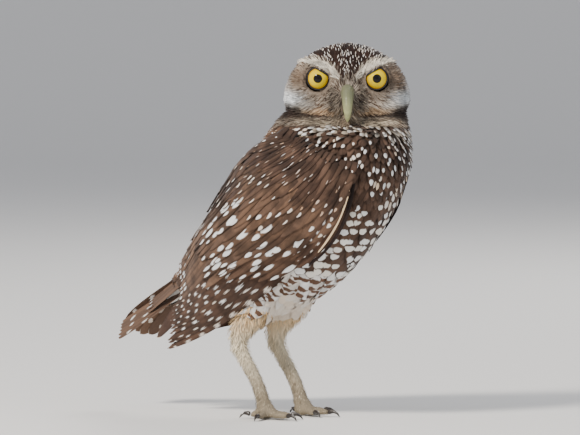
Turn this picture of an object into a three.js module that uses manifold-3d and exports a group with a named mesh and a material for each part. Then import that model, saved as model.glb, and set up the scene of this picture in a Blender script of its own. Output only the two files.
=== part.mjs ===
// A burrowing owl, life size, standing with its head turned to the viewer.
// Millimetres, +Z up. The face looks along -Y, and the body is turned 40 degrees from it, its breast to +X.
import * as THREE from "three";
import { mergeVertices } from "three/addons/utils/BufferGeometryUtils.js";
import Module from "manifold-3d";

const wasm = await Module();
wasm.setup();

// Driving sizes
const bodyTurn = THREE.MathUtils.degToRad(-40); // the body's heading, from +X towards the viewer
const gap = 0.32; // between pieces that touch
const vaneThickness = 0.7;
const vaneTilt = 0.9; // how far a vane's lower edge stands above its middle

// The torso's outline in its plane of symmetry, from the neck down to the tail: front, back and half width.
const frontLine = [
  [79, 176], [80, 160], [71.5, 139], [59.5, 120], [45, 102], [28, 87],
  [10, 74], [-13, 64], [-38, 61], [-62, 65], [-82, 73],
];
const backLine = [
  [-15, 180], [-29, 164], [-40.5, 150], [-50.5, 138], [-59.5, 127], [-68, 117],
  [-77, 108], [-85, 100], [-92, 93], [-99, 87], [-105, 82],
];
const halfWidths = [42, 45, 45, 43.5, 41.5, 39.5, 36.5, 31, 24, 16, 9];

// Head
const headCentre = new THREE.Vector3(29, -23, 198.8);
const crownHeight = 36.5;
const chinDepth = 17;
const headHalfWidth = 39.5;
const faceDepth = 27;
const napeDepth = 31;
const eyeRadius = 8.3;
const eyeOpening = 6.6;
const eyeSpread = 17.7; // each eye's distance from the face's middle
const eyeHeight = 14.2; // above the head's centre
const eyeSplay = THREE.MathUtils.degToRad(14);

// A smooth curve through a list of numbers or points, t from 0 to 1
function along(list, t) {
  const n = list.length - 1;
  const x = THREE.MathUtils.clamp(t, 0, 1) * n;
  const i = Math.min(Math.floor(x), n - 1);
  const f = x - i;
  const pick = (k) => list[THREE.MathUtils.clamp(k, 0, n)];
  const mix = (a, b, c, d) =>
    0.5 * (2 * b + (c - a) * f + (2 * a - 5 * b + 4 * c - d) * f * f + (3 * b - a - 3 * c + d) * f * f * f);
  const [a, b, c, d] = [pick(i - 1), pick(i), pick(i + 1), pick(i + 2)];
  return Array.isArray(b) ? b.map((_, k) => mix(a[k], b[k], c[k], d[k])) : mix(a, b, c, d);
}

const smoothstep = (a, b, x) => {
  const t = THREE.MathUtils.clamp((x - a) / (b - a), 0, 1);
  return t * t * (3 - 2 * t);
};
const mixed = (a, b, t) => a + (b - a) * t;
const bump = (x, width) => Math.exp(-(x * x) / (width * width));

// Turns a three.js geometry into a solid that can be cut and joined
function solid(geometry) {
  const plain = new THREE.BufferGeometry();
  plain.setAttribute("position", geometry.getAttribute("position"));
  if (geometry.index) plain.setIndex(geometry.index);
  const merged = mergeVertices(plain, 1e-4);
  return new wasm.Manifold(
    new wasm.Mesh({
      numProp: 3,
      vertProperties: new Float32Array(merged.attributes.position.array),
      triVerts: new Uint32Array(merged.index.array),
    }),
  );
}

// The largest closed surface of a solid, which fills sealed hollows and drops scraps
function largest(whole) {
  return whole.decompose().reduce((a, b) => (a.volume() > b.volume() ? a : b));
}

// Joins a list of solids into one
function fused(solids, onePiece = true) {
  const joined = wasm.Manifold.union(solids);
  return onePiece ? largest(joined) : joined;
}

// Moves each vertex of a sphere: shape(direction) gives its place
function sculptedSphere(across, down, shape) {
  const geometry = new THREE.SphereGeometry(1, across, down);
  geometry.rotateX(Math.PI / 2);
  const at = geometry.getAttribute("position");
  for (let i = 0; i < at.count; i++) {
    const p = shape(new THREE.Vector3().fromBufferAttribute(at, i));
    at.setXYZ(i, p.x, p.y, p.z);
  }
  return solid(geometry);
}

// A closed skin over rings: ring(t, angle) gives a point, t from 0 to 1 along and angle round
function loft(steps, sides, ring) {
  const points = [];
  for (let i = 0; i <= steps; i++)
    for (let k = 0; k < sides; k++) points.push(ring(i / steps, (2 * Math.PI * k) / sides));
  const middle = (i) =>
    points.slice(i * sides, (i + 1) * sides)
      .reduce((sum, p) => sum.add(p), new THREE.Vector3())
      .divideScalar(sides);
  const first = points.length;
  points.push(middle(0), middle(steps));
  const faces = [];
  for (let k = 0; k < sides; k++) {
    const next = (k + 1) % sides;
    for (let i = 0; i < steps; i++) {
      const [a, b, c, d] = [i * sides + k, i * sides + next, (i + 1) * sides + next, (i + 1) * sides + k];
      faces.push(a, b, c, a, c, d);
    }
    faces.push(first, next, k);
    faces.push(first + 1, steps * sides + k, steps * sides + next);
  }
  const geometry = new THREE.BufferGeometry().setFromPoints(points);
  geometry.setIndex(faces);
  const made = solid(geometry);
  if (made.volume() > 0) return made;
  for (let i = 0; i < faces.length; i += 3) [faces[i + 1], faces[i + 2]] = [faces[i + 2], faces[i + 1]];
  geometry.setIndex(faces);
  return solid(geometry);
}

// A thin closed blade between two like sheets: at(s, c) gives the middle, normal(s, c) its outward side
function blade(lengths, widths, at, normal, thickness) {
  const points = [];
  for (const side of [0.5, -0.5])
    for (let i = 0; i <= lengths; i++)
      for (let k = 0; k <= widths; k++) {
        const s = i / lengths;
        const c = (2 * k) / widths - 1;
        points.push(at(s, c).addScaledVector(normal(s, c), side * thickness(s, c)));
      }
  const row = widths + 1;
  const layer = (lengths + 1) * row;
  const faces = [];
  const quad = (a, b, c, d) => faces.push(a, b, c, a, c, d);
  for (let i = 0; i < lengths; i++)
    for (let k = 0; k < widths; k++) {
      const a = i * row + k;
      const corners = [a, a + row, a + row + 1, a + 1];
      quad(...corners);
      const [p, q, r, s] = corners.map((v) => v + layer);
      faces.push(p, r, q, p, s, r);
    }
  const rim = [];
  for (let k = 0; k < widths; k++) rim.push(k);
  for (let i = 0; i < lengths; i++) rim.push(i * row + widths);
  for (let k = widths; k > 0; k--) rim.push(lengths * row + k);
  for (let i = lengths; i > 0; i--) rim.push(i * row);
  rim.forEach((a, j) => {
    const b = rim[(j + 1) % rim.length];
    quad(a, b, b + layer, a + layer);
  });
  const geometry = new THREE.BufferGeometry().setFromPoints(points);
  geometry.setIndex(faces);
  const made = solid(geometry);
  if (made.volume() > 0) return made;
  for (let i = 0; i < faces.length; i += 3) [faces[i + 1], faces[i + 2]] = [faces[i + 2], faces[i + 1]];
  geometry.setIndex(faces);
  return solid(geometry);
}

// The torso: a ring at t is an oval through its front and back points
function torsoPoint(t, angle, swell = 0) {
  const f = along(frontLine, t);
  const b = along(backLine, t);
  const half = [(f[0] - b[0]) / 2, (f[1] - b[1]) / 2];
  const depth = Math.hypot(...half);
  const width = along(halfWidths, t) + swell;
  const grow = (depth + swell) / depth;
  const c = Math.cos(angle);
  const s = Math.sin(angle);
  return new THREE.Vector3(
    (f[0] + b[0]) / 2 + half[0] * grow * c,
    width * s,
    (f[1] + b[1]) / 2 + half[1] * grow * c,
  );
}

function torsoLoft(swell, steps = 17, sides = 28) {
  const made = loft(steps, sides, (t, angle) => torsoPoint(t, angle, swell));
  return swell ? made.add(made.translate([-swell, 0, -swell])).add(made.translate([0, 0, swell])) : made;
}

// A point's place on the torso: how far along it, its angle round it, and its share of the way to the ring
function torsoPlace(p) {
  const side = (t) => {
    const f = along(frontLine, t);
    const b = along(backLine, t);
    return (f[0] - b[0]) * (p.z - b[1]) - (f[1] - b[1]) * (p.x - b[0]);
  };
  let low = 0;
  let high = 1;
  if (side(low) > 0) return { t: 0 };
  if (side(high) < 0) return { t: 1 };
  for (let i = 0; i < 30; i++) {
    const t = (low + high) / 2;
    if (side(t) < 0) low = t;
    else high = t;
  }
  const t = (low + high) / 2;
  const f = along(frontLine, t);
  const b = along(backLine, t);
  const half = new THREE.Vector2((f[0] - b[0]) / 2, (f[1] - b[1]) / 2);
  const off = new THREE.Vector2(p.x - (f[0] + b[0]) / 2, p.z - (f[1] + b[1]) / 2);
  const u = off.dot(half) / half.lengthSq();
  const v = p.y / along(halfWidths, t);
  return { t, u, v, share: Math.hypot(u, v) };
}

// The point pushed out of the torso until it is clear by that much, and left alone if it is already
function clearOfTorso(p, clearance) {
  const place = torsoPlace(p);
  if (place.share === undefined) return p;
  const angle = Math.atan2(place.v, place.u);
  const wall = torsoPoint(place.t, angle, clearance);
  const wallPlace = torsoPlace(wall);
  return place.share < wallPlace.share ? wall : p;
}

// The wing's lower and upper edge in the body's frame, from the bend at the breast back to the tips
const wingLow = [
  [68, -30, 158], [59, -29, 137], [47, -28.5, 119], [31, -28.5, 104], [8, -28, 90],
  [-17, -27.5, 76], [-41, -26, 62], [-66, -23, 50], [-92, -19, 40],
];
// The left wing is held a little higher, and its tip goes under the tail
const farWingLow = [
  [52, -38, 160], [44, -37.5, 139], [32, -37, 121], [18, -36, 107], [-3, -35, 93],
  [-24, -32, 79], [-45, -28, 66], [-74, -15, 56], [-103, -3, 48],
];
const wingHigh = [
  [24, -31, 178], [2, -31, 168], [-20, -29, 157], [-38, -26, 144], [-52, -23, 131],
  [-62, -20.5, 119], [-70, -18.5, 109], [-76, -17, 100], [-80, -16, 92],
];
const wingBulges = [14, 18, 21, 22, 21, 18, 13, 7, 3];
const wingClearance = 2.5; // of the outer side of the wing's core from the torso
const wingCoreDepth = 1.9;
const wingCoreEnd = 0.8;

// Rows of feathers as [along, across] from the lowest feather to the highest, and their height above the core
const wingRows = [
  { count: 6, root: [[0.38, 0.07], [0.46, 0.42]], tip: [[1, 0.03], [0.97, 0.5]], halfWidth: 5, lift: 1.5 },
  { count: 4, root: [[0.36, 0.45], [0.34, 0.8]], tip: [[0.93, 0.58], [0.9, 0.87]], halfWidth: 7, lift: 1.5 },
  { count: 2, root: [[0.3, 0.84], [0.3, 0.93]], tip: [[0.82, 0.8], [0.76, 0.95]], halfWidth: 7, lift: 3.5 },
  {
    count: 3, root: [[0.24, 0.08], [0.29, 0.28]], tip: [[0.56, 0.07], [0.62, 0.31]],
    halfWidth: 6, lift: 3.7,
  },
  {
    count: 4, root: [[0.27, 0.42], [0.24, 0.84]], tip: [[0.61, 0.45], [0.58, 0.82]],
    halfWidth: 8, lift: 3.2,
  },
  { count: 4, root: [[0.12, 0.16], [0.12, 0.8]], tip: [[0.38, 0.18], [0.4, 0.78]], halfWidth: 9, lift: 4.4 },
  {
    count: 3, root: [[0.02, 0.94], [0.26, 0.97]], tip: [[0.22, 0.78], [0.54, 0.92]],
    halfWidth: 7.5, lift: 4.6,
  },
  {
    count: 2, root: [[0.03, 0.03], [0.05, 0.1]], tip: [[0.36, 0.01], [0.34, 0.08]],
    halfWidth: 3.8, lift: 3.2,
  },
];

// One wing lies over the torso: u from the bend to the tips, v from the lower to the upper edge
function wingSolid(lowEdge) {
  const wingPoint = (u, v) => {
    const low = along(lowEdge, u);
    const high = along(wingHigh, u);
    const p = new THREE.Vector3(...low.map((a, k) => mixed(a, high[k], v)));
    p.y -= along(wingBulges, u) * 4 * v * (1 - v);
    return clearOfTorso(p, wingClearance);
  };
  const outward = (u, v) => {
    const step = 0.02;
    const du = wingPoint(u + step, v).sub(wingPoint(u - step, v));
    const dv = wingPoint(u, v + step).sub(wingPoint(u, v - step));
    const n = dv.cross(du).normalize();
    return n.y > 0 ? n.negate() : n;
  };
  const span = (u) => wingPoint(u, 0).distanceTo(wingPoint(u, 1)) * 1.12;

  // A feather's lower edge rides over its neighbour, and its root is sunk in the core
  const vane = ({ root, tip, halfWidth, lift }) => {
    const place = (step, c) => {
      const s = 1 - (1 - step) ** 1.4;
      const u = mixed(root[0], tip[0], s);
      const outline = Math.sqrt(smoothstep(-0.25, 0.3, s)) * (1 - s ** 3.2) ** 0.6;
      const across = (c * halfWidth * Math.max(outline, 0.12)) / span(u);
      return [s, u, mixed(root[1], tip[1], s) + across];
    };
    const at = (step, c) => {
      const [s, u, v] = place(step, c);
      const height = mixed(-wingCoreDepth / 2, lift, smoothstep(0, 0.22, s));
      return wingPoint(u, v).addScaledVector(outward(u, v), height - c * vaneTilt * smoothstep(0, 0.3, s));
    };
    const normal = (step, c) => outward(...place(step, c).slice(1));
    return blade(3, 1, at, normal, (s) => mixed(1.1, 0.7, s) * vaneThickness);
  };
  const coreAt = (s, c) => [mixed(0, wingCoreEnd, s), 0.5 + c * 0.46];
  const core = blade(8, 6,
    (s, c) => wingPoint(...coreAt(s, c)).addScaledVector(outward(...coreAt(s, c)), -wingCoreDepth / 2),
    (s, c) => outward(...coreAt(s, c)),
    () => wingCoreDepth);
  const vanes = wingRows.flatMap((row) =>
    Array.from({ length: row.count }, (_, k) => {
      const between = ([a, b]) => a.map((x, i) => mixed(x, b[i], k / (row.count - 1)));
      return vane({ ...row, root: between(row.root), tip: between(row.tip) });
    }));
  return fused([core, ...vanes]).subtract(torsoLoft(gap));
}

// The tail: feathers side by side under a low roof, in the body's frame
const tailRoot = [-92, 87];
const tailTip = [-146, 55];
const tailHalfWidth = 13;
const tailDrop = 12;
const tailFeathers = 10;

const tailDepth = 0.5; // each feather lies that much under the one above it
const tailCore = { x: [-76, -124], halfWidth: [13, 8], halfHeight: [10, 6], drop: [5, 4] };

function tailSolid() {
  const run = new THREE.Vector2(tailTip[0] - tailRoot[0], tailTip[1] - tailRoot[1]);
  const up = new THREE.Vector3(run.y, 0, -run.x).normalize();
  const vanes = Array.from({ length: tailFeathers }, (_, k) => {
    const side = (2 * k) / (tailFeathers - 1) - 1; // -1 is the bird's right
    const out = Math.abs(side);
    const length = 1 - 0.1 * out * out;
    const across = new THREE.Vector3(0, 1, -side * 0.9).normalize();
    const width = (s) => 6 * Math.sqrt(smoothstep(-0.3, 0.25, s)) * (1 - s ** 5) ** 0.6 + 0.5;
    const at = (s, c) => new THREE.Vector3(
      tailRoot[0] + run.x * s * length,
      side * mixed(6, tailHalfWidth, s),
      tailRoot[1] + run.y * s * length - tailDrop * out ** 1.6 * mixed(0.6, 1, s)
        - tailDepth * out * tailFeathers / 2,
    ).addScaledVector(across, c * width(s));
    const normal = () => up.clone().add(new THREE.Vector3(0, side * 0.7, 0)).normalize();
    return blade(4, 1, at, normal, (s) => mixed(1.2, 0.8, s) * vaneThickness);
  });
  const core = loft(6, 12, (t, angle) => {
    const x = mixed(...tailCore.x, t);
    const z = tailRoot[1] + (run.y * (x - tailRoot[0])) / run.x - mixed(...tailCore.drop, t);
    const fade = 1 - 0.9 * t * t;
    return new THREE.Vector3(
      x,
      mixed(...tailCore.halfWidth, t) * fade * Math.sin(angle),
      z + mixed(...tailCore.halfHeight, t) * fade * Math.cos(angle),
    );
  });
  return largest(fused([core, ...vanes]).subtract(torsoLoft(gap)));
}

// Legs, in the body's frame: from the hip inside the body, back to the heel and down to the ankle
const legSpread = 18;
const hipSpread = 15;
const legPath = [[-9, 84], [-20, 71], [-31, 58], [-35, 47], [-29.5, 37], [-24, 29], [-18.5, 20], [-13.5, 8]];
const legRadii = [13, 13, 10, 7.4, 5.6, 4.9, 4.8, 5.2];
const heelPoint = [-35, 47];
const heelTilt = [-0.08, -1]; // the way the leg runs through the heel
const footForward = -12.5; // the middle of each foot's pad
const padHeight = 5.2;
const padSize = [6.5, 6, 5.6];
// Each toe's heading from straight ahead towards the outside, and the lengths of toe and claw
const toes = [
  { name: "rear", heading: 158, length: 8, claw: 7.5 },
  { name: "inner", heading: -24, length: 14, claw: 8 },
  { name: "middle", heading: 6, length: 17, claw: 8.5 },
  { name: "outer", heading: 68, length: 13, claw: 8 },
];
const toeRadii = [3.3, 2.1];
const clawRadius = 1.75;

// A tube about a path: round it, radii(t) gives the distances across and upwards
function tube(path, radii, steps, sides) {
  return loft(steps, sides, (t, angle) => {
    const here = new THREE.Vector3(...along(path, t));
    const ahead = new THREE.Vector3(...along(path, Math.min(t + 0.02, 1)));
    const behind = new THREE.Vector3(...along(path, Math.max(t - 0.02, 0)));
    const way = ahead.sub(behind).normalize();
    const level = Math.abs(way.z) > 0.75 || Math.abs(way.y) < 0.3;
    const across = level ? new THREE.Vector3(0, 1, 0) : new THREE.Vector3(-way.y, way.x, 0);
    across.addScaledVector(way, -across.dot(way)).normalize();
    const up = new THREE.Vector3().crossVectors(way, across);
    const [wide, high] = radii(t);
    return here.addScaledVector(across, wide * Math.cos(angle)).addScaledVector(up, high * Math.sin(angle));
  });
}

function legTube(side, swell = 0) {
  const path = legPath.map(([x, z]) => [x, side * mixed(legSpread, hipSpread, smoothstep(45, 85, z)), z]);
  return tube(path, (t) => [along(legRadii, t) * 0.92 + swell, along(legRadii, t) + swell], 13, 14);
}

function legPieces(side) {
  const y = side * legSpread;
  const whole = legTube(side);
  const way = new THREE.Vector3(heelTilt[0], 0, heelTilt[1]).normalize();
  const level = way.dot(new THREE.Vector3(heelPoint[0], y, heelPoint[1]));
  const shank = largest(whole.trimByPlane(way.toArray(), level + gap));
  const thigh = largest(whole.trimByPlane(way.negate().toArray(), -level).subtract(torsoLoft(gap)));
  const pieces = [sculptedSphere(10, 8, (d) =>
    new THREE.Vector3(footForward + d.x * padSize[0], y + d.y * padSize[1], padHeight + d.z * padSize[2]))];
  const claws = toes.map((toe) => {
    const turn = THREE.MathUtils.degToRad(toe.heading) * side;
    const out = new THREE.Vector3(Math.cos(turn), Math.sin(turn), 0);
    const place = (reach, z) => [footForward + out.x * reach, y + out.y * reach, z];
    const end = toe.length + 2;
    const line = [place(1, 5), place(end * 0.4, 3.2), place(end * 0.75, 2.9), place(end, 2.7)];
    const knuckles = (t) => 0.28 * Math.cos(t * Math.PI * 6) * (1 - t);
    const toeRing = (t, swell) => Array(2).fill(mixed(...toeRadii, t) + knuckles(t) + swell);
    const toeTube = (swell) => tube(line, (t) => toeRing(t, swell), 5, 7);
    pieces.push(toeTube(0));
    const clawLine = [
      place(end + gap, 2.9), place(end + toe.claw * 0.35, 3.6),
      place(end + toe.claw * 0.72, 2.8), place(end + toe.claw, 0.35),
    ];
    const claw = tube(clawLine, (t) => Array(2).fill(mixed(clawRadius, 0.3, t ** 1.3)), 4, 6);
    const toeEnd = toeTube(gap).translate(out.clone().multiplyScalar(gap).toArray());
    return [toe.name, largest(claw.subtract(toeEnd).subtract(belowFloor))];
  });
  const ankleRoom = fused([shank, shank.translate([0, 0, -gap]), shank.translate([gap, 0, 0])]);
  const foot = largest(fused(pieces).subtract(belowFloor).subtract(ankleRoom));
  return { thigh, shank, foot, claws };
}

function box(low, high) {
  const size = high.map((h, k) => h - low[k]);
  const geometry = new THREE.BoxGeometry(...size);
  geometry.translate(...low.map((l, k) => l + size[k] / 2));
  return solid(geometry);
}

const belowFloor = box([-60, -80, -20], [60, 80, 0]);

// The head, in its own frame: the face looks along -Y
const browLine = [[3, 8], [11, 15.5], [20, 22], [31, 23.5]];
const browHeight = 3.4;

function headPoint(direction, swell = 0) {
  const d = direction;
  const flat = Math.sign(d.y) * Math.abs(d.y) ** 0.82;
  const p = new THREE.Vector3(
    d.x * headHalfWidth,
    flat * (d.y < 0 ? faceDepth : napeDepth),
    d.z * (d.z > 0 ? crownHeight : chinDepth),
  );
  const front = smoothstep(0.1, 0.5, -d.y);
  if (front > 0) {
    const x = Math.abs(p.x);
    const eyeDistance = Math.hypot(x - eyeSpread, p.z - eyeHeight);
    const dish = 3 * bump(eyeDistance, 10);
    let brow = 0;
    for (let i = 0; i <= 12; i++) {
      const [bx, bz] = along(browLine, i / 12);
      brow = Math.max(brow, bump(Math.hypot(x - bx, p.z - bz), 4.2) * mixed(0.8, 1, i / 12));
    }
    const bridge = 2.4 * bump(x, 6) * bump(p.z - 9, 13);
    const muzzle = 2.5 * bump(x, 10) * bump(p.z + 2, 9);
    const rim = 1.6 * bump(Math.hypot(x / 1.02, (p.z - 9) * 1.35) - 31, 4) * smoothstep(12, -2, p.z);
    p.y -= front * (browHeight * brow + bridge + muzzle + rim - dish);
  }
  return p.addScaledVector(d, swell);
}

function headSolid(swell = 0) {
  return sculptedSphere(32, 22, (d) => headPoint(d, swell));
}

function ball(centre, radius, across = 16, down = 10) {
  return sculptedSphere(across, down, (d) => d.clone().multiplyScalar(radius).add(centre));
}

const eyeCentre = (side) => new THREE.Vector3(side * eyeSpread, -17, eyeHeight);

// The lids of one eye: a low ring round the opening and a hood that follows the brow down to the bill
function lids(side) {
  const look = new THREE.Vector3(side * Math.sin(eyeSplay), -Math.cos(eyeSplay), 0);
  const centre = eyeCentre(side);
  const ring = new THREE.TorusGeometry(eyeOpening + 0.75, 1.1, 5, 18);
  ring.lookAt(look);
  ring.translate(...centre.clone().addScaledVector(look, Math.sqrt(eyeRadius ** 2 - eyeOpening ** 2)));
  const hood = ball(centre, eyeRadius + 1.4, 12, 8);
  const up = new THREE.Vector3(-side * 0.514, 0, 0.857);
  const cover = hood.trimByPlane(up.toArray(), up.dot(centre) + 4.45);
  return [solid(ring), cover];
}

const billPath = [[-18, 4], [-27, 6.5], [-34.5, 4], [-38.3, -2.3], [-38, -7.8], [-35.6, -12.2]];
const billWidths = [4.8, 4.6, 3.9, 3.1, 2.1, 0.4];
const billHeights = [5.4, 5.2, 4.4, 3.4, 2.2, 0.4];
const lowerBillPath = [[-20, -6], [-28, -7.6], [-32.6, -9.6], [-34.6, -12]];
const lowerBillWidths = [3.8, 3.4, 2.6, 0.7];
const lowerBillHeights = [2.6, 2.2, 1.6, 0.5];

// A bill half: a tube along a path of [y, z] in the head's frame
function billTube(path, widths, heights, swell = 0) {
  return loft(8, 10, (t, angle) => {
    const point = (u) => new THREE.Vector3(0, ...along(path, THREE.MathUtils.clamp(u, 0, 1)));
    const way = point(t + 0.02).sub(point(t - 0.02)).normalize();
    const side = new THREE.Vector3(1, 0, 0);
    const up = new THREE.Vector3().crossVectors(way, side);
    return point(t)
      .addScaledVector(side, (along(widths, t) + swell) * Math.cos(angle))
      .addScaledVector(up, (along(heights, t) + swell) * Math.sin(angle));
  });
}
const upperBillTube = (swell) => billTube(billPath, billWidths, billHeights, swell);
const lowerBillTube = (swell) => billTube(lowerBillPath, lowerBillWidths, lowerBillHeights, swell);

const nostrilPlace = [3.6, -34.2, 4.6];
const nostrilRadius = 1.1;

const group = new THREE.Group();
const inBodyFrame = (made) => made.rotate([0, 0, THREE.MathUtils.radToDeg(bodyTurn)]);
const inHeadFrame = (made) => made.translate(headCentre.toArray());
const feathers = (color) => new THREE.MeshStandardMaterial({ color, roughness: 0.9, metalness: 0 });

function addNode(name, made, look) {
  const m = made.getMesh();
  const at = new Float32Array(m.numVert * 3);
  for (let i = 0; i < m.numVert; i++) {
    const first = i * m.numProp;
    at.set(m.vertProperties.subarray(first, first + 3), i * 3);
  }
  const geometry = new THREE.BufferGeometry();
  geometry.setAttribute("position", new THREE.BufferAttribute(at, 3));
  geometry.setIndex(new THREE.BufferAttribute(new Uint32Array(m.triVerts), 1));
  geometry.computeVertexNormals();
  const mesh = new THREE.Mesh(geometry, look);
  mesh.name = name;
  group.add(mesh);
}

// Head, eyes and bill
const sides = [["right", -1], ["left", 1]];
const eyeSockets = fused([-1, 1].map((side) => ball(eyeCentre(side), eyeRadius + gap)), false);
const head = largest(fused([headSolid(), ...lids(-1), ...lids(1)]).subtract(eyeSockets));
const nostrils = fused([-1, 1].map((side) =>
  ball(new THREE.Vector3(side * nostrilPlace[0], ...nostrilPlace.slice(1)), nostrilRadius, 8, 6)), false);
const upperBill = largest(upperBillTube(0).subtract(nostrils).subtract(headSolid(gap)));
const lowerBill = largest(lowerBillTube(0).subtract(headSolid(gap)).subtract(upperBillTube(gap)));
const smooth = (color, roughness) => new THREE.MeshStandardMaterial({ color, roughness, metalness: 0 });
addNode("head", inHeadFrame(head), feathers(0x6b5848));
for (const [label, side] of sides)
  addNode("eye_" + label, inHeadFrame(ball(eyeCentre(side), eyeRadius)), smooth(0xf2cf10, 0.1));
addNode("bill_upper", inHeadFrame(upperBill), smooth(0xa7a872, 0.4));
addNode("bill_lower", inHeadFrame(lowerBill), smooth(0xa7a872, 0.4));

// Neck, from the torso's top ring up into the head
const bodyToRow = (p) => p.applyAxisAngle(new THREE.Vector3(0, 0, 1), bodyTurn);
const neckTop = { halfWidth: 37, front: 18, back: 25, level: -3 };
const neckWhole = loft(4, 28, (t, angle) => {
  const low = bodyToRow(torsoPoint(0, angle));
  const turned = angle + bodyTurn;
  const s = Math.sin(turned);
  const high = new THREE.Vector3(
    neckTop.halfWidth * Math.cos(turned),
    (s < 0 ? neckTop.front : neckTop.back) * s,
    neckTop.level,
  ).add(headCentre);
  low.z += gap;
  const inward = smoothstep(0, 1, t);
  const x = mixed(low.x, high.x, inward);
  const y = mixed(low.y, high.y, inward);
  return new THREE.Vector3(x, y, mixed(low.z, high.z, t));
});
const billRoom = inHeadFrame(upperBillTube(gap).add(lowerBillTube(gap)));
const neckSolid = largest(neckWhole.subtract(inHeadFrame(headSolid(gap))).subtract(billRoom));
addNode("neck", neckSolid, feathers(0x5e4636));

// Torso, wings, tail and legs
addNode("torso", inBodyFrame(torsoLoft(0)), feathers(0x8a715c));
const rightWing = largest(wingSolid(wingLow).subtract(legTube(-1, gap)));
const leftWing = largest(wingSolid(farWingLow).mirror([0, 1, 0]).subtract(legTube(1, gap)));
addNode("wing_right", inBodyFrame(rightWing), feathers(0x5a4030));
addNode("wing_left", inBodyFrame(leftWing), feathers(0x5a4030));
addNode("tail", inBodyFrame(tailSolid()), feathers(0x5a4030));
for (const [label, side] of sides) {
  const leg = legPieces(side);
  addNode("thigh_" + label, inBodyFrame(leg.thigh), feathers(0xd8c8a0));
  addNode("shank_" + label, inBodyFrame(leg.shank), feathers(0xcfc4a8));
  addNode("foot_" + label, inBodyFrame(leg.foot), feathers(0x8c7b60));
  for (const [name, claw] of leg.claws) {
    addNode("claw_" + label + "_" + name, inBodyFrame(claw), smooth(0x2a2420, 0.5));
  }
}

// The origin is the middle of the bounding box, at the floor
const bounds = new THREE.Box3().setFromObject(group);
const middle = bounds.getCenter(new THREE.Vector3());
group.position.set(-middle.x, -middle.y, -bounds.min.z);

export default group;
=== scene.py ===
# %% [markdown]
# A burrowing owl stands on a pale studio floor and looks straight at the camera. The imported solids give
# every size. This lesson dresses them: one skin under the coat, feathers as thin closed vanes, and glossy
# eyes, bill and claws.

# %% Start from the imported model
import math
from functools import reduce
from itertools import product

import bpy
import numpy as np
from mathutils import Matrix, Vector
from mathutils.bvhtree import BVHTree


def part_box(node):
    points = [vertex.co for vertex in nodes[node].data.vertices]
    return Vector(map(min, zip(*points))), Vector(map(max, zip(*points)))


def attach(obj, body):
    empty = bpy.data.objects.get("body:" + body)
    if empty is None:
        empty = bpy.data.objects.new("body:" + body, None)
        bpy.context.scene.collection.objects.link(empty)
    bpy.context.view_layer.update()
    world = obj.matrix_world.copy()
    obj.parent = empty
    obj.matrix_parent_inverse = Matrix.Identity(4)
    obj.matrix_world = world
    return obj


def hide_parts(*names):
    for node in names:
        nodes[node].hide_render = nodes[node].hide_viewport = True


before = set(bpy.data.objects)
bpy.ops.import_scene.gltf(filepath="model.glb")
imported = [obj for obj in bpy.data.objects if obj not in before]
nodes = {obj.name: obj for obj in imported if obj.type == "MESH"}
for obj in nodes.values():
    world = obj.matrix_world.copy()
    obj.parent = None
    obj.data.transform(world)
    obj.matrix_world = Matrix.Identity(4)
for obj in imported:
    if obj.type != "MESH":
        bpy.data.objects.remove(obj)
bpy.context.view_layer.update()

# %% [markdown]
# Everything is worked out in millimetres and turned into metres only when a mesh is made. Two frames help:
# the head's own, whose face looks along -Y, and the body's own, whose heading is turned 40 degrees from +X
# towards the camera. Both are found from the eyes, because their places in the head are known sizes. Fixed
# numbers would do too, but then the scene would not follow the solids.

# %% Frames of the head and the body
MM = 0.001
EYE_IN_HEAD = np.array([17.7, -17.0, 14.2])  # the left eye's middle, from the head's middle
HEAD_IN_BODY_ORIGIN = np.array([29.0, -23.0, 198.8])
BODY_TURN = math.radians(-40)
EYE_RADIUS = 8.3
rng = np.random.default_rng(7)


def node_middle(name):
    low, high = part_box(name)
    return (np.array(low) + np.array(high)) / 2 / MM


eye_middles = {side: node_middle("eye_" + side) for side in ("right", "left")}
HEAD = (eye_middles["right"] + eye_middles["left"]) / 2 - EYE_IN_HEAD * [0, 1, 1]
ORIGIN = HEAD - HEAD_IN_BODY_ORIGIN
TURN = np.array([
    [math.cos(BODY_TURN), -math.sin(BODY_TURN), 0],
    [math.sin(BODY_TURN), math.cos(BODY_TURN), 0],
    [0, 0, 1],
])


def body_to_row(p):
    return p @ TURN.T + ORIGIN


def row_to_body(p):
    return (p - ORIGIN) @ TURN


print("head at", HEAD.round(1), "origin of the body's frame at", ORIGIN.round(1))

# %% [markdown]
# The camera stands far off with a long lens, as a bird photographer's does, 3 degrees above level. The frame
# is 580 by 435 and 0.62 mm to the pixel at the bird.

# %% Camera
MM_PER_PIXEL = 0.62
FRAME_WIDTH = 580
ELEVATION = math.radians(3)
CAMERA_DISTANCE = 4000
SENSOR = 36
aim = ORIGIN + np.array([-6.2, -10.0, 125.7])
camera_data = bpy.data.cameras.new("camera")
camera_data.sensor_width = SENSOR
camera_data.lens = SENSOR * CAMERA_DISTANCE / (FRAME_WIDTH * MM_PER_PIXEL)
camera_data.clip_end = 40
camera = bpy.data.objects.new("camera", camera_data)
bpy.context.scene.collection.objects.link(camera)
away = np.array([0, -math.cos(ELEVATION), math.sin(ELEVATION)])
camera.location = Vector((aim + away * CAMERA_DISTANCE) * MM)
camera.rotation_euler = (math.pi / 2 - ELEVATION, 0, 0)
bpy.context.scene.camera = camera
print("lens", round(camera_data.lens, 1), "camera height", round(camera.location.z, 3))

# %% [markdown]
# The studio is a pale floor that sweeps up behind the bird, a large warm key light from the upper left, a
# weak fill from the right and a faint light from behind for the rim. The floor starts as a plane, whose far
# edge is pulled up and rounded, so that no line shows behind the bird.


# %% Helpers for operators
def deselect():
    bpy.ops.object.select_all(action="DESELECT")


def activate(obj):
    deselect()
    obj.select_set(True)
    bpy.context.view_layer.objects.active = obj


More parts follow.
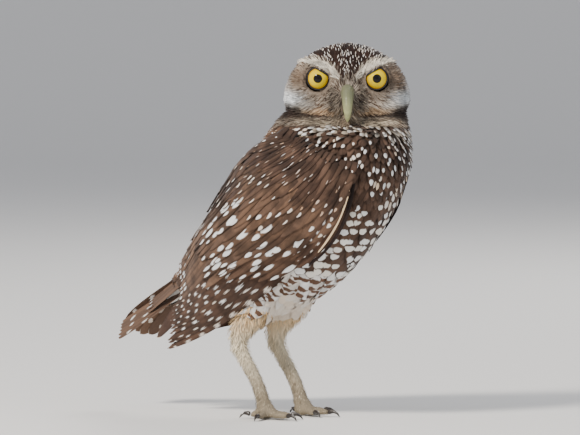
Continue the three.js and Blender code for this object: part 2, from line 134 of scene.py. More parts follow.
def edit_all():
    bpy.ops.object.mode_set(mode="EDIT")
    bpy.ops.mesh.select_all(action="SELECT")


def end_edit():
    bpy.ops.object.mode_set(mode="OBJECT")


def select_none(kind):
    """Nothing of the mesh is selected, and what is selected next is vertices or edges."""
    bpy.ops.object.mode_set(mode="EDIT")
    bpy.ops.mesh.select_mode(type=kind)
    bpy.ops.mesh.select_all(action="DESELECT")
    end_edit()


def modify(obj, kind, **values):
    modifier = obj.modifiers.new(kind.lower(), kind)
    for key, value in values.items():
        setattr(modifier, key, value)


def apply_all(obj):
    activate(obj)
    for modifier in list(obj.modifiers):
        bpy.ops.object.modifier_apply(modifier=modifier.name)


def keep_place_in_mesh(obj):
    activate(obj)
    bpy.ops.object.transform_apply(location=True, rotation=True, scale=True)


# %% Helpers for numbers
def srgb(r, g, b):
    c = np.array([r, g, b], float) / 255
    return np.where(c <= 0.04045, c / 12.92, ((c + 0.055) / 1.055) ** 2.4)


def smoothstep(a, b, x):
    t = np.clip((x - a) / (b - a), 0, 1)
    return t * t * (3 - 2 * t)


def unit(v):
    return v / (np.linalg.norm(v, axis=-1, keepdims=True) + 1e-9)


def columns(n, *values):
    """A table of n rows, with one column for each number or list."""
    return np.stack([np.broadcast_to(v, n) for v in values], -1)


print("a mid grey is", srgb(128, 128, 128).round(3)[0], "in linear light")


# %% Floor and lights
FLOOR_SIZE, WALL_HEIGHT, SWEEP_RADIUS = 16, 6, 2.4


def studio_floor():
    deselect()
    bpy.ops.mesh.primitive_plane_add(size=FLOOR_SIZE, location=(0, -2, 0))
    floor = bpy.context.object
    floor.name = "studio_floor"
    select_none("EDGE")
    for edge in floor.data.edges:
        edge.select = all(floor.data.vertices[i].co.y > 1 for i in edge.vertices)
    bpy.ops.object.mode_set(mode="EDIT")
    bpy.ops.mesh.extrude_region_move(TRANSFORM_OT_translate={"value": (0, 0, WALL_HEIGHT)})
    end_edit()
    for edge in floor.data.edges:
        ends = [floor.data.vertices[i].co for i in edge.vertices]
        edge.select = all(end.y > 1 and end.z < 1 for end in ends)
    bpy.ops.object.mode_set(mode="EDIT")
    bpy.ops.mesh.bevel(offset=SWEEP_RADIUS, segments=12)
    end_edit()
    bpy.ops.object.shade_smooth()
    keep_place_in_mesh(floor)
    material = bpy.data.materials.new("pale_floor")
    material.use_nodes = True
    shader = material.node_tree.nodes["Principled BSDF"]
    shader.inputs["Base Color"].default_value = (0.78, 0.77, 0.75, 1)
    shader.inputs["Roughness"].default_value = 0.85
    shader.inputs["Specular IOR Level"].default_value = 0.2
    floor.data.materials.append(material)
    return floor


def area_light(name, place, size, power, colour):
    data = bpy.data.lights.new(name, "AREA")
    data.size = size
    data.energy = power
    data.color = colour
    light = bpy.data.objects.new(name, data)
    bpy.context.scene.collection.objects.link(light)
    light.location = place
    light.rotation_euler = (Vector((0, 0, 0.12)) - Vector(place)).to_track_quat("-Z", "Y").to_euler()


studio_floor()
area_light("key", (-1.1, -1.5, 1.7), 0.42, 84, (1, 0.94, 0.86))
area_light("fill", (1.6, -1.4, 0.9), 1.4, 8, (0.9, 0.95, 1))
area_light("rim", (0.7, 1.5, 1.4), 0.8, 20, (1, 0.97, 0.93))
world = bpy.data.worlds.new("studio")
bpy.context.scene.world = world
world.use_nodes = True
world.node_tree.nodes["Background"].inputs["Color"].default_value = (0.86, 0.9, 1, 1)
world.node_tree.nodes["Background"].inputs["Strength"].default_value = 0.55

# %% [markdown]
# The skin is what lies under the coat. It could be sculpted anew, but the solids have its shape already. So
# copies of the head, neck, torso, legs and feet are joined, swollen until their narrow gaps close, remeshed
# into one closed surface and drawn in again by the depth of the coat: a few millimetres on the body, less on
# the face, next to nothing on the toes.

# %% One skin
FLESH = ["head", "neck", "torso"]
FLESH += [part + "_" + side for part in ("thigh", "shank", "foot") for side in ("right", "left")]
GAP_CLOSED = 0.35
SKIN_VOXEL = 1.3
COAT_DEPTH = {"body": 3.4, "head": 2.2, "face": 1.5, "thigh": 2.4, "shank": 1.0, "foot": 0.5}
HEAD_RADIUS = 46  # everything round the head's axis that counts as head
THIGH_TOP, SHANK_TOP, FOOT_TOP = 80, 46, 10  # heights where thigh, shank and foot end


def points_of(obj):
    co = np.zeros(len(obj.data.vertices) * 3)
    obj.data.vertices.foreach_get("co", co)
    return co.reshape(-1, 3) / MM


def head_share(p):
    """1 on the head, 0 on the body, for points of the row frame."""
    h = p - HEAD
    return smoothstep(-17, -10, h[:, 2]) * (np.hypot(h[:, 0], h[:, 1]) < HEAD_RADIUS)


def coat_depth(p):
    """How deep the coat is at points of the row frame."""
    h = p - HEAD
    face = smoothstep(0, -14, h[:, 1]) * smoothstep(26, 18, h[:, 2])
    head = head_share(p)
    depth = COAT_DEPTH["head"] * (1 - face) + COAT_DEPTH["face"] * face
    depth = COAT_DEPTH["body"] * (1 - head) + depth * head
    z = p[:, 2]
    shank, thigh = COAT_DEPTH["shank"], COAT_DEPTH["thigh"]
    depth = np.where(z < 62, thigh, depth)
    depth = np.where(z < SHANK_TOP, shank + (thigh - shank) * (z - 30) / 16, depth)
    depth = np.where(z < 30, shank, depth)
    return np.where(z < FOOT_TOP, COAT_DEPTH["foot"], depth)


def skin_of(names):
    deselect()
    copies = []
    for name in names:
        copy = bpy.data.objects.new("copy_of_" + name, nodes[name].data.copy())
        bpy.context.scene.collection.objects.link(copy)
        copy.select_set(True)
        copies.append(copy)
    bpy.context.view_layer.objects.active = copies[0]
    bpy.ops.object.join()
    skin = bpy.context.object
    skin.name = "skin"
    edit_all()
    bpy.ops.mesh.remove_doubles(threshold=0.01 * MM)
    end_edit()
    modify(skin, "DISPLACE", strength=GAP_CLOSED * MM, mid_level=0)
    modify(skin, "REMESH", mode="VOXEL", voxel_size=SKIN_VOXEL * MM)
    modify(skin, "SMOOTH", factor=0.5, iterations=4)
    apply_all(skin)
    deepest = max(COAT_DEPTH.values())
    group = skin.vertex_groups.new(name="coat")
    for i, weight in enumerate(coat_depth(points_of(skin)) / deepest):
        group.add([i], float(weight), "REPLACE")
    modify(skin, "DISPLACE", strength=-(deepest + GAP_CLOSED) * MM, mid_level=0, vertex_group="coat")
    modify(skin, "SMOOTH", factor=0.5, iterations=3)
    apply_all(skin)
    bpy.ops.object.shade_smooth()
    return skin


skin = skin_of(FLESH)
skin_points = points_of(skin)
print("skin", len(skin.data.polygons), "faces, box", skin_points.min(0).round(1), skin_points.max(0).round(1))

# %% [markdown]
# The bill is a hook of horn that curves down from between the eyes. Its solids are coarse, and a new shape
# would drift from them. So copies of them are remeshed finely and smoothed, which keeps the hook and the
# cutting edge. The under bill is drawn narrower, so that it hides behind the hook as on the bird.


# %% Bill
def smooth_copy(node, name, voxel, rounds):
    piece = bpy.data.objects.new(name, nodes[node].data.copy())
    bpy.context.scene.collection.objects.link(piece)
    activate(piece)
    edit_all()
    bpy.ops.mesh.remove_doubles(threshold=0.01 * MM)
    end_edit()
    modify(piece, "REMESH", mode="VOXEL", voxel_size=voxel * MM)
    modify(piece, "SMOOTH", factor=0.5, iterations=rounds)
    apply_all(piece)
    bpy.ops.object.shade_smooth()
    piece.data.materials.clear()
    return piece


UNDER_BILL_WIDTH = 0.62
bill_hook = smooth_copy("bill_upper", "bill_hook", 0.3, 26)
bill_under = smooth_copy("bill_lower", "bill_under", 0.3, 10)
edit_all()
bpy.ops.transform.resize(value=(UNDER_BILL_WIDTH, 1, 1), center_override=HEAD * MM)
end_edit()
print("bill hook has", len(bill_hook.data.polygons), "faces")

# %% [markdown]
# The upper lids carry brow feathers too. A patch of a ball over each eye, above the slant of the brow, is
# added to the skin's faces as ground for them.

# %% Ground for the coat
LID_SLOPE = np.array([0.514, 0, 0.857])  # the upper lid's edge faces this way, mirrored for the right eye
LID_OFFSET = 4.35
HOOD_RADIUS = EYE_RADIUS + 0.95


def lid_up(side):
    sign = -1 if side == "right" else 1
    up = LID_SLOPE * [-sign, 1, 1]
    return up / np.linalg.norm(up)


def hood_patch(side):
    """Points and four-cornered faces of the part of a ball above the brow's slant."""
    up = lid_up(side)
    first = np.cross(up, [0, 1, 0])
    first /= np.linalg.norm(first)
    second = np.cross(up, first)
    widest = math.acos((LID_OFFSET + 0.3) / HOOD_RADIUS)
    turns = np.linspace(0, 2 * math.pi, 49)[:-1]
    polar, turn = (a[..., None] for a in np.meshgrid(np.linspace(0.05, widest, 12), turns, indexing="ij"))
    ring = first * np.cos(turn) + second * np.sin(turn)
    points = eye_middles[side] + HOOD_RADIUS * (up * np.cos(polar) + ring * np.sin(polar))
    i, k = np.meshgrid(np.arange(11), np.arange(48), indexing="ij")
    nxt = (k + 1) % 48
    faces = np.stack([i * 48 + k, (i + 1) * 48 + k, (i + 1) * 48 + nxt, i * 48 + nxt], -1).reshape(-1, 4)
    points = points.reshape(-1, 3)
    middles = points[faces].mean(1)
    normals = np.cross(points[faces[:, 2]] - points[faces[:, 0]], points[faces[:, 3]] - points[faces[:, 1]])
    if (normals * (middles - eye_middles[side])).sum() < 0:
        faces = faces[:, ::-1]
    return points, faces[middles[:, 1] < eye_middles[side][1] - 1.5]


ground_points, ground_faces = skin_points, np.array([f.vertices[:] for f in skin.data.polygons])
for side in ("right", "left"):
    points, faces = hood_patch(side)
    ground_faces = np.concatenate([ground_faces, faces + len(ground_points)])
    ground_points = np.concatenate([ground_points, points])
skin_tree = BVHTree.FromPolygons(ground_points.tolist(), ground_faces.tolist())
bill_points = points_of(bill_hook)
bill_faces = [[v + len(ground_points) for v in f.vertices] for f in bill_hook.data.polygons]
face_points = np.concatenate([ground_points, bill_points])
face_tree = BVHTree.FromPolygons(face_points.tolist(), ground_faces.tolist() + bill_faces)
print("ground for the coat has", len(ground_faces), "faces")

# %% [markdown]
# The torso is an oval ring at every step from neck to tail. The same lines as in the solids tell where a
# point lies along it, t from 0 to 1, and round it, from 0 in front to 180 degrees behind.

# %% Where a point lies on the torso
FRONT_LINE = np.array([
    [79, 176], [80, 160], [71.5, 139], [59.5, 120], [45, 102], [28, 87],
    [10, 74], [-13, 64], [-38, 61], [-62, 65], [-82, 73],
])
BACK_LINE = np.array([
    [-15, 180], [-29, 164], [-40.5, 150], [-50.5, 138], [-59.5, 127], [-68, 117],
    [-77, 108], [-85, 100], [-92, 93], [-99, 87], [-105, 82],
])
HALF_WIDTHS = np.array([42, 45, 45, 43.5, 41.5, 39.5, 36.5, 31, 24, 16, 9.0])


def along(values, t):
    """A smooth curve through a list of numbers or points, t from 0 to 1."""
    values = np.asarray(values, float)
    n = len(values) - 1
    x = np.clip(t, 0, 1) * n
    i = np.minimum(np.floor(x).astype(int), n - 1)
    f = x - i
    if values.ndim > 1:
        f = f[..., None]
    a, b, c, d = (values[np.clip(i + k, 0, n)] for k in (-1, 0, 1, 2))
    return 0.5 * (2 * b + (c - a) * f + (2 * a - 5 * b + 4 * c - d) * f**2 + (3 * b - a - 3 * c + d) * f**3)


def torso_place(p):
    """t, angle in radians and distance from the middle as a share of the ring, in the body's frame."""
    low, high = np.zeros(p.shape[:-1]), np.ones(p.shape[:-1])
    for _ in range(24):
        t = (low + high) / 2
        f, b = along(FRONT_LINE, t), along(BACK_LINE, t)
        line = f - b
        side = line[..., 0] * (p[..., 2] - b[..., 1]) - line[..., 1] * (p[..., 0] - b[..., 0])
        low = np.where(side < 0, t, low)
        high = np.where(side < 0, high, t)
    f, b = along(FRONT_LINE, t), along(BACK_LINE, t)
    half = (f - b) / 2
    off = np.stack([p[..., 0], p[..., 2]], -1) - (f + b) / 2
    u = (off * half).sum(-1) / (half**2).sum(-1)
    v = p[..., 1] / along(HALF_WIDTHS, t)
    return t, np.arctan2(v, u), np.hypot(u, v)


def torso_point(t, angle, swell=0.0):
    f, b = along(FRONT_LINE, t), along(BACK_LINE, t)
    half = (f - b) / 2
    depth = np.linalg.norm(half, axis=-1)
    reach = ((depth + swell) / depth * np.cos(angle))[..., None]
    middle = (f + b) / 2 + half * reach
    return np.stack([middle[..., 0], (along(HALF_WIDTHS, t) + swell) * np.sin(angle), middle[..., 1]], -1)


def clear_of_torso(p, clearance):
    t, angle, share = torso_place(p)
    wall = torso_point(t, angle, clearance)
    inside = (share < torso_place(wall)[2]) & (t > 0.001) & (t < 0.999)
    return np.where(inside[..., None], wall, p)


print("a point on the breast:", torso_place(np.array([[60.0, 0, 125]]))[0].round(2))

# %% [markdown]
# Every feather is a thin closed vane: an upper sheet and a lower one that meet at the edges. Hair particles
# would be quicker, but leave no mesh to keep, and one modelled feather copied everywhere would not bend with
# the body. A vane carries its own map, across and along, and a few numbers that its material reads: the
# ground colour, the colour of the markings, and where its spot, bars, shaft streak and fringe are. So a spot
# stays round and sharp at any size. A second map, OFBake, gives each feather a small patch at its root's
# place on an unwrapped skin.

# %% Unwrap of the skin
AXIS_LOW, AXIS_HIGH = np.array([-70.0, 0, 60]), np.array([22.0, 8, 235])  # tail to crown, body's frame
UNWRAP_LENGTH = 260.0
PATCH = 0.003


def unwrap(p):
    """A place from 0 to 1 for points of the row frame: round and along the body, or round a leg."""
    b = row_to_body(p)
    axis = (AXIS_HIGH - AXIS_LOW) / np.linalg.norm(AXIS_HIGH - AXIS_LOW)
    off = b - AXIS_LOW
    height = off @ axis
    ahead = np.cross([0, 1, 0], axis)
    turn = np.arctan2(off[:, 1], off @ ahead)
    u = 0.5 + turn / (2 * math.pi) * 0.98
    v = 0.24 + 0.75 * np.clip((height + 40) / UNWRAP_LENGTH, 0, 1)
    leg = b[:, 2] < 61
    side = np.where(b[:, 1] > 0, 1, 0)
    round_leg = np.arctan2(b[:, 1] - np.where(side > 0, 18, -18), b[:, 0] + 24) / (2 * math.pi) + 0.5
    u = np.where(leg, 0.02 + 0.5 * side + 0.45 * round_leg, u)
    v = np.where(leg, 0.01 + 0.21 * np.clip(b[:, 2] / 61, 0, 1), v)
    return np.stack([u, v], -1)


# %% Joined vanes from arrays
def vane_mesh(name, top, bottom, looks):
    """One object of N vanes. top and bottom are N by rows by columns points, and meet at the edges."""
    n, rows, cols, _ = top.shape
    ring = 2 * cols - 2
    points = np.concatenate([top, bottom[:, :, cols - 2:0:-1]], 2).reshape(-1, 3)
    across = np.concatenate([np.linspace(0, 1, cols), np.linspace(0, 1, cols)[cols - 2:0:-1]])
    i, k = np.meshgrid(np.arange(rows - 1), np.arange(ring), indexing="ij")
    nxt = (k + 1) % ring
    quads = np.stack([i * ring + k, i * ring + nxt, (i + 1) * ring + nxt, (i + 1) * ring + k], -1)
    quads = quads.reshape(-1, 4)
    caps = np.array([np.arange(ring)[::-1], (rows - 1) * ring + np.arange(ring)])
    shift = (np.arange(n) * rows * ring)[:, None, None]
    solid = points.reshape(n, -1, 3)
    solid = solid - solid.mean(1, keepdims=True)
    a, b, c, d = (solid[:, quads[:, q]] for q in range(4))
    volume = (np.cross(a, b) * c).sum((1, 2)) + (np.cross(a, c) * d).sum((1, 2))
    inward = (volume < 0)[:, None, None]
    quad_loops = np.where(inward, (quads[None] + shift)[:, :, ::-1], quads[None] + shift).reshape(-1)
    cap_loops = np.where(inward, (caps[None] + shift)[:, :, ::-1], caps[None] + shift).reshape(-1)
    loops = np.concatenate([quad_loops, cap_loops]).astype(np.int32)
    starts = np.concatenate([
        np.arange(len(quad_loops) // 4) * 4,
        len(quad_loops) + np.arange(len(cap_loops) // ring) * ring,
    ]).astype(np.int32)
    mesh = bpy.data.meshes.new(name)
    mesh.vertices.add(len(points))
    mesh.vertices.foreach_set("co", (points * MM).astype(np.float32).ravel())
    mesh.loops.add(len(loops))
    mesh.loops.foreach_set("vertex_index", loops)
    mesh.polygons.add(len(starts))
    mesh.polygons.foreach_set("loop_start", starts)
    mesh.update(calc_edges=True)
    s = np.broadcast_to(np.linspace(0, 1, rows)[None, :, None], (n, rows, ring)).reshape(-1)
    c = np.broadcast_to(across[None, None, :], (n, rows, ring)).reshape(-1)
    root = np.repeat(unwrap(top[:, 0, cols // 2]), rows * ring, 0)
    patch = np.stack([root[:, 0] + (c - 0.5) * PATCH, root[:, 1] + (s - 0.5) * PATCH], -1)
    for layer_name, values in (("Vane", np.stack([c, s], -1)), ("OFBake", patch)):
        layer = mesh.uv_layers.new(name=layer_name)
        layer.data.foreach_set("uv", values[loops].astype(np.float32).ravel())
    for key in ("ground", "mark", "spot", "band", "edge"):
        value = np.asarray(looks[key], float)
        if value.shape[1] == 3:
            value = np.concatenate([value, np.ones((n, 1))], 1)
        attribute = mesh.attributes.new(key, "FLOAT_COLOR", "POINT")
        attribute.data.foreach_set("color", np.repeat(value, rows * ring, 0).astype(np.float32).ravel())
    mesh.set_sharp_from_angle(angle=math.radians(55))
    mesh.polygons.foreach_set("use_smooth", np.ones(len(starts), bool))
    obj = bpy.data.objects.new(name, mesh)
    bpy.context.scene.collection.objects.link(obj)
    print(name, n, "vanes,", int(n * ((rows - 1) * ring * 2 + 2 * (ring - 2))), "triangles")
    return obj


def outline_of(rows, tip=3.0, base=0.55):
    """Half width along a vane, as a share of its widest, and how far along each row is."""
    step = np.linspace(0, 1, rows)
    s = 1 - (1 - step) ** 1.35
    width = (base + (1 - base) * smoothstep(0, 0.35, s)) * np.maximum(1 - s**tip, 0) ** 0.5
    return s, np.maximum(width, 0.06)


# %% [markdown]
# A body feather grows from one place and lies over the next ones like a tile. So its place is a root on the
# skin, a direction and a length. It is walked out in short steps, each drawn back to the skin, so that it
# bends with the body, and it rises evenly from the skin to its tip. A flat card would stick out of a curve.


# %% Feathers laid on the skin
def walk(roots, lie, length, s, tree):
    """Points and normals of the skin under each row of each feather."""
    n, rows = len(roots), len(s)
    places = np.zeros((n, rows, 3))
    normals = np.zeros((n, rows, 3))
    for i in range(n):
        p = Vector(roots[i])
        way = Vector(lie[i])
        last = 0.0
        for k in range(rows):
            p = p + way * float((s[k] - last) * length[i])
            last = s[k]
            hit, normal, _, _ = tree.find_nearest(p)
            p = hit
            way = (way - normal * way.dot(normal)).normalized()
            places[i, k] = hit
            normals[i, k] = normal
    return places, normals


def laid_vanes(name, roots, lie, length, width, looks, tip_height, rows=5, cols=3, sink=0.4, camber=0.18,
               thick=0.25, curl=1.3, spread=0.12, tip=3.0, tree=None):
    s, outline = outline_of(rows, tip)
    n = len(roots)
    tree = tree or skin_tree
    turn = rng.normal(0, spread, n)[:, None]
    _, normals = walk(roots, lie, length, s, tree)
    lie = lie * np.cos(turn) + np.cross(lie, normals[:, 0]) * np.sin(turn)
    places, normals = walk(roots, lie, length, s, tree)
    tangent = unit(np.gradient(places, axis=1))
    side = unit(np.cross(tangent, normals))
    c = np.linspace(-1, 1, cols)
    height = -sink + (np.asarray(tip_height)[:, None] + sink) * s[None, :] ** curl
    half = outline[None, :] * np.asarray(width)[:, None] * (1 + rng.normal(0, 0.07, (n, rows)))
    roll = rng.normal(0, 0.12, n)[:, None, None]
    half = half[:, :, None]
    up = height[:, :, None] + camber * half * (1 - c**2) + roll * half * c
    top = places[:, :, None] + side[:, :, None] * (half * c)[..., None] + normals[:, :, None] * up[..., None]
    loose = smoothstep(0.35, 1, s)[None, :, None] * np.asarray(length)[:, None, None]
    fray = rng.normal(0, 0.02, (n, rows, cols)) * loose
    top = top + tangent[:, :, None] * fray[..., None]
    depth = thick * (1 - c**2)
    bottom = top - normals[:, :, None] * depth[None, None, :, None]
    return vane_mesh(name, top, bottom, looks)


# %% [markdown]
# Small feathers grow close together, but never in a grid. Roots are scattered over the skin by throwing
# darts: a place is kept only if none that is kept already is nearer than the feathers' spacing there. Plain
# random places would leave bald spots. A fixed seed makes each run alike.

# %% Scattered roots
face_middles = ground_points[ground_faces].mean(1)
face_normals = np.cross(ground_points[ground_faces[:, 2]] - ground_points[ground_faces[:, 0]],
                        ground_points[ground_faces[:, 3]] - ground_points[ground_faces[:, 1]])
face_areas = np.linalg.norm(face_normals, axis=1) / 2
face_normals /= 2 * face_areas[:, None] + 1e-12
face_body = row_to_body(face_middles)
face_head = face_middles - HEAD
face_t, face_angle, face_share = torso_place(face_body)
eye_gap = np.min([np.linalg.norm(face_middles - m, axis=1) for m in eye_middles.values()], 0)
x, y, z = face_head.T
bill_room = (np.abs(x) < 3.4) & (y < -18) & (z > -8) & (z < 7)
open_skin = (eye_gap > EYE_RADIUS + 0.45) & ~bill_room
on_head = open_skin & (z > -14) & (np.hypot(x, y) < HEAD_RADIUS)
height = face_body[:, 2]
on_foot = height < FOOT_TOP
on_shank = (height < SHANK_TOP) & ~on_foot
on_thigh = (height < THIGH_TOP) & (height >= SHANK_TOP) & (face_share > 0.96)
on_thigh &= (face_body[:, 0] < 10) & (face_body[:, 0] > -50)
on_body = ~on_head & ~on_foot & ~on_shank & ~on_thigh & open_skin
NEIGHBOURS = list(product((-1, 0, 1), repeat=3))
TRIES = 3.2  # darts thrown for each place that is expected


def scatter(mask, spacing, seed):
    """Roots and normals on the masked faces. spacing is a number or one for each face."""
    dice = np.random.default_rng(seed)
    spacing = np.broadcast_to(np.asarray(spacing, float), face_areas.shape)
    chance = face_areas * mask / spacing**2
    tries = int(chance.sum() * TRIES)
    picks = dice.choice(len(face_areas), tries, p=chance / chance.sum())
    a, b = dice.random((2, tries))[:, :, None]
    corners = ground_points[ground_faces[picks]]
    low = corners[:, 0] * (1 - a) + corners[:, 1] * a
    high = corners[:, 3] * (1 - a) + corners[:, 2] * a
    places = low * (1 - b) + high * b
    gaps = spacing[picks]
    cell = float(gaps.max())
    kept, chosen = {}, []
    for index, (x, y, z) in enumerate(places.tolist()):
        i, j, k = int(x // cell), int(y // cell), int(z // cell)
        limit = gaps[index] ** 2
        if not any((q[0] - x) ** 2 + (q[1] - y) ** 2 + (q[2] - z) ** 2 < limit
                   for di, dj, dk in NEIGHBOURS for q in kept.get((i + di, j + dj, k + dk), ())):
            kept.setdefault((i, j, k), []).append((x, y, z))
            chosen.append(index)
    return places[chosen], face_normals[picks[chosen]], picks[chosen]


def lie_on(normals, way):
    """The way laid flat on the skin."""
    return unit(way - normals * (way * normals).sum(1, keepdims=True))


def looks_of(n, ground, mark=(0.6, 0.6, 0.58)):
    """The numbers that the material reads, one row for each feather."""
    looks = {
        "ground": ground,
        "mark": mark,
        "spot": (0.0, 0.0, 0.0, 0.0),  # middle along, half length, half width, middle across
        "band": (0.0, 0.5, 0.0, 2.0),  # number of bars, dark share, half width of the streak, web
        # The last number of edge sets how much painted shade falls at a vane's root and side edges, and how
        # dark its shaft and patchy tone are.
        "edge": (2.0, -1.0, 0.5, 0.0),  # where the fringe starts, second spot, seed, darkening
    }
    for key, value in looks.items():
        looks[key] = np.broadcast_to(np.asarray(value, float), (n, np.shape(value)[-1])).copy()
    looks["edge"][:, 2] = rng.random(n)
    return looks


def varied(colour, n, amount=0.14):
    """A colour for each feather, a little lighter or darker."""
    shade = np.exp(rng.normal(0, amount, (n, 1)))
    return np.asarray(colour) * shade


on_legs = on_shank | on_thigh
print("faces on the head", int(on_head.sum()), "body", int(on_body.sum()), "legs", int(on_legs.sum()))

# %% [markdown]
# A feather's markings grow with it, so the material draws them from the vane's own map. A spot is an oval,
# bars are a wave along the vane that may stop at the shaft, a streak follows the shaft and a fringe runs
# round the tip. Fine noise, stretched along the barbs, breaks up each edge and each colour. Painted images
# would blur close up, and these stay sharp.


# %% Node helpers
class Graph:
    """Short ways to add nodes to a material."""

    def __init__(self, name):
        self.material = bpy.data.materials.new(name)
        self.material.use_nodes = True
        self.tree = self.material.node_tree
        self.shader = self.tree.nodes["Principled BSDF"]

    def put(self, target, value):
        if isinstance(value, bpy.types.NodeSocket):
            self.tree.links.new(value, target)
        elif isinstance(value, (int, float)):
            target.default_value = value
        else:
            target.default_value = tuple(value) + (1,) * (len(target.default_value) - len(value))

    def math(self, operation, a, b=0.0, c=0.0, clamp=False):
        node = self.tree.nodes.new("ShaderNodeMath")
        node.operation = operation
        node.use_clamp = clamp
        for target, value in zip(node.inputs, (a, b, c)):
            self.put(target, value)
        return node.outputs[0]

    def times(self, *values):
        return reduce(lambda a, b: self.math("MULTIPLY", a, b), values)

    def most(self, *values):
        return reduce(lambda a, b: self.math("MAXIMUM", a, b), values)

    def minus(self, a, b):
        return self.math("SUBTRACT", a, b)

    def line(self, x, slope, offset):
        return self.math("MULTIPLY_ADD", x, slope, offset)

    def length(self, x, y):
        return self.math("SQRT", self.math("ADD", self.times(x, x), self.times(y, y)))

    def parts(self, vector):
        node = self.tree.nodes.new("ShaderNodeSeparateXYZ")
        self.tree.links.new(vector, node.inputs[0])
        return node.outputs[:3]

    def step(self, x, low, high):
        """0 below low and 1 above high, smooth between. low above high turns it round."""
        node = self.tree.nodes.new("ShaderNodeMapRange")
        node.interpolation_type = "SMOOTHSTEP"
        turned = low > high
        self.put(node.inputs["Value"], x)
        self.put(node.inputs["From Min"], min(low, high))
        self.put(node.inputs["From Max"], max(low, high))
        node.inputs["To Min"].default_value = 1.0 if turned else 0.0
        node.inputs["To Max"].default_value = 0.0 if turned else 1.0
        return node.outputs[0]

    def mix(self, share, a, b):
        node = self.tree.nodes.new("ShaderNodeMix")
        node.data_type = "RGBA"
        self.put(node.inputs[0], share)
        self.put(node.inputs[6], a)
        self.put(node.inputs[7], b)
        return node.outputs[2]

    def scale_colour(self, colour, share):
        node = self.tree.nodes.new("ShaderNodeVectorMath")
        node.operation = "SCALE"
        self.put(node.inputs[0], colour)
        self.put(node.inputs["Scale"], share)
        return node.outputs[0]

    def vector(self, x, y, z):
        node = self.tree.nodes.new("ShaderNodeCombineXYZ")
        for target, value in zip(node.inputs, (x, y, z)):
            self.put(target, value)
        return node.outputs[0]

    def noise(self, vector, scale, detail=2.0):
        node = self.tree.nodes.new("ShaderNodeTexNoise")
        self.put(node.inputs["Vector"], vector)
        node.inputs["Scale"].default_value = scale
        node.inputs["Detail"].default_value = detail
        return node.outputs["Fac"]

    def attribute(self, name):
        node = self.tree.nodes.new("ShaderNodeAttribute")
        node.attribute_name = name
        parts = self.tree.nodes.new("ShaderNodeSeparateColor")
        self.tree.links.new(node.outputs["Color"], parts.inputs[0])
        return node.outputs["Color"], (*parts.outputs[:3], node.outputs["Alpha"])

    def object_place(self):
        node = self.tree.nodes.new("ShaderNodeTexCoord")
        return node.outputs["Object"]

    def bump(self, height, strength, distance):
        node = self.tree.nodes.new("ShaderNodeBump")
        self.put(node.inputs["Height"], height)
        node.inputs["Strength"].default_value = strength
        node.inputs["Distance"].default_value = distance
        self.tree.links.new(node.outputs[0], self.shader.inputs["Normal"])

    def finish(self, colour, roughness, specular=0.3, sheen=0.0):
        self.put(self.shader.inputs["Base Color"], colour)
        self.put(self.shader.inputs["Roughness"], roughness)
        self.shader.inputs["Specular IOR Level"].default_value = specular
        self.shader.inputs["Sheen Weight"].default_value = sheen
        return self.material


# %% Feather material
def feather_material(name, barb_count=34.0, barb_shade=0.28, rag=0.2):
    g = Graph(name)
    uv = g.tree.nodes.new("ShaderNodeUVMap")
    uv.uv_map = "Vane"
    across, s, _ = g.parts(uv.outputs[0])
    c = g.line(across, 2.0, -1.0)
    out = g.math("ABSOLUTE", c)
    ground, _ = g.attribute("ground")
    mark, _ = g.attribute("mark")
    _, (spot_s, spot_long, spot_wide, spot_c) = g.attribute("spot")
    _, (bar_count, bar_share, streak, web) = g.attribute("band")
    _, (fringe, second_s, seed, painted_shade_and_tone) = g.attribute("edge")
    barb_line = g.times(g.line(out, -0.35, s), barb_count)
    barbs = g.noise(g.vector(barb_line, g.times(out, 1.2), g.times(seed, 97.0)), 1.0, 3.0)
    s_rag = g.line(g.line(barbs, 0.5, -0.25), rag, s)

    def oval(middle):
        y = g.math("DIVIDE", g.minus(s_rag, middle), g.most(spot_long, 0.001))
        x = g.math("DIVIDE", g.minus(c, spot_c), g.most(spot_wide, 0.001))
        return g.times(g.step(g.length(x, y), 1.12, 0.86), g.step(spot_long, 0.0, 0.01))

    second = g.times(oval(second_s), g.step(second_s, -0.01, 0.0))
    wave = g.math("SINE", g.times(s_rag, bar_count, 2 * math.pi))
    bars = g.step(g.minus(wave, g.line(bar_share, -2.0, 1.0)), -0.12, 0.12)
    bars = g.times(bars, g.step(bar_count, 0.0, 0.1), g.step(g.minus(web, c), -0.08, 0.08))
    shaft = g.times(g.step(g.minus(streak, out), -0.1, 0.06), g.step(streak, 0.0, 0.02))
    rim = g.step(g.minus(g.line(g.times(out, out), 0.12, s_rag), fringe), -0.03, 0.03)
    share = g.math("MAXIMUM", g.most(oval(spot_s), second, bars, shaft), rim, clamp=True)
    shade = g.line(barbs, barb_shade * 2, 1 - barb_shade)
    # Painted shade: the vane is darkened at its root and along its side edges, where the neighbouring
    # feathers lap over it. The darker shaft and the patchy tone below are the feathers' own colour.
    root_painted_shade = g.line(g.step(s, 0.55, 0.05), g.times(painted_shade_and_tone, -1.0), 1.0)
    edge_painted_shade = g.line(g.step(out, 0.55, 1.0), g.times(painted_shade_and_tone, -0.9), 1.0)
    quill = g.line(g.step(out, 0.07, 0.02), g.times(painted_shade_and_tone, -0.7), 1.0)
    mottle = g.line(g.step(g.noise(g.object_place(), 95.0, 3.0), 0.36, 0.66), 0.62, 0.62)
    toned = g.line(g.step(painted_shade_and_tone, 0.1, 0.3), g.minus(mottle, 1.0), 1.0)
    body = g.scale_colour(ground, g.times(shade, root_painted_shade, edge_painted_shade, quill, toned))
    pale = g.scale_colour(mark, g.line(barbs, 0.24, 0.88))
    g.bump(barbs, 0.45, 0.0003)
    return g.finish(g.mix(share, body, pale), 0.78, 0.16, 0.1)


feather = feather_material("barred_feather")
down = feather_material("soft_down", 14.0, 0.2)
print("materials", [m.name for m in bpy.data.materials])

# %% [markdown]
# Colours, as they look on the bird: deep brown above, warmer on the wings, bluish white spots, buff edges
# and the cream of the leg down.

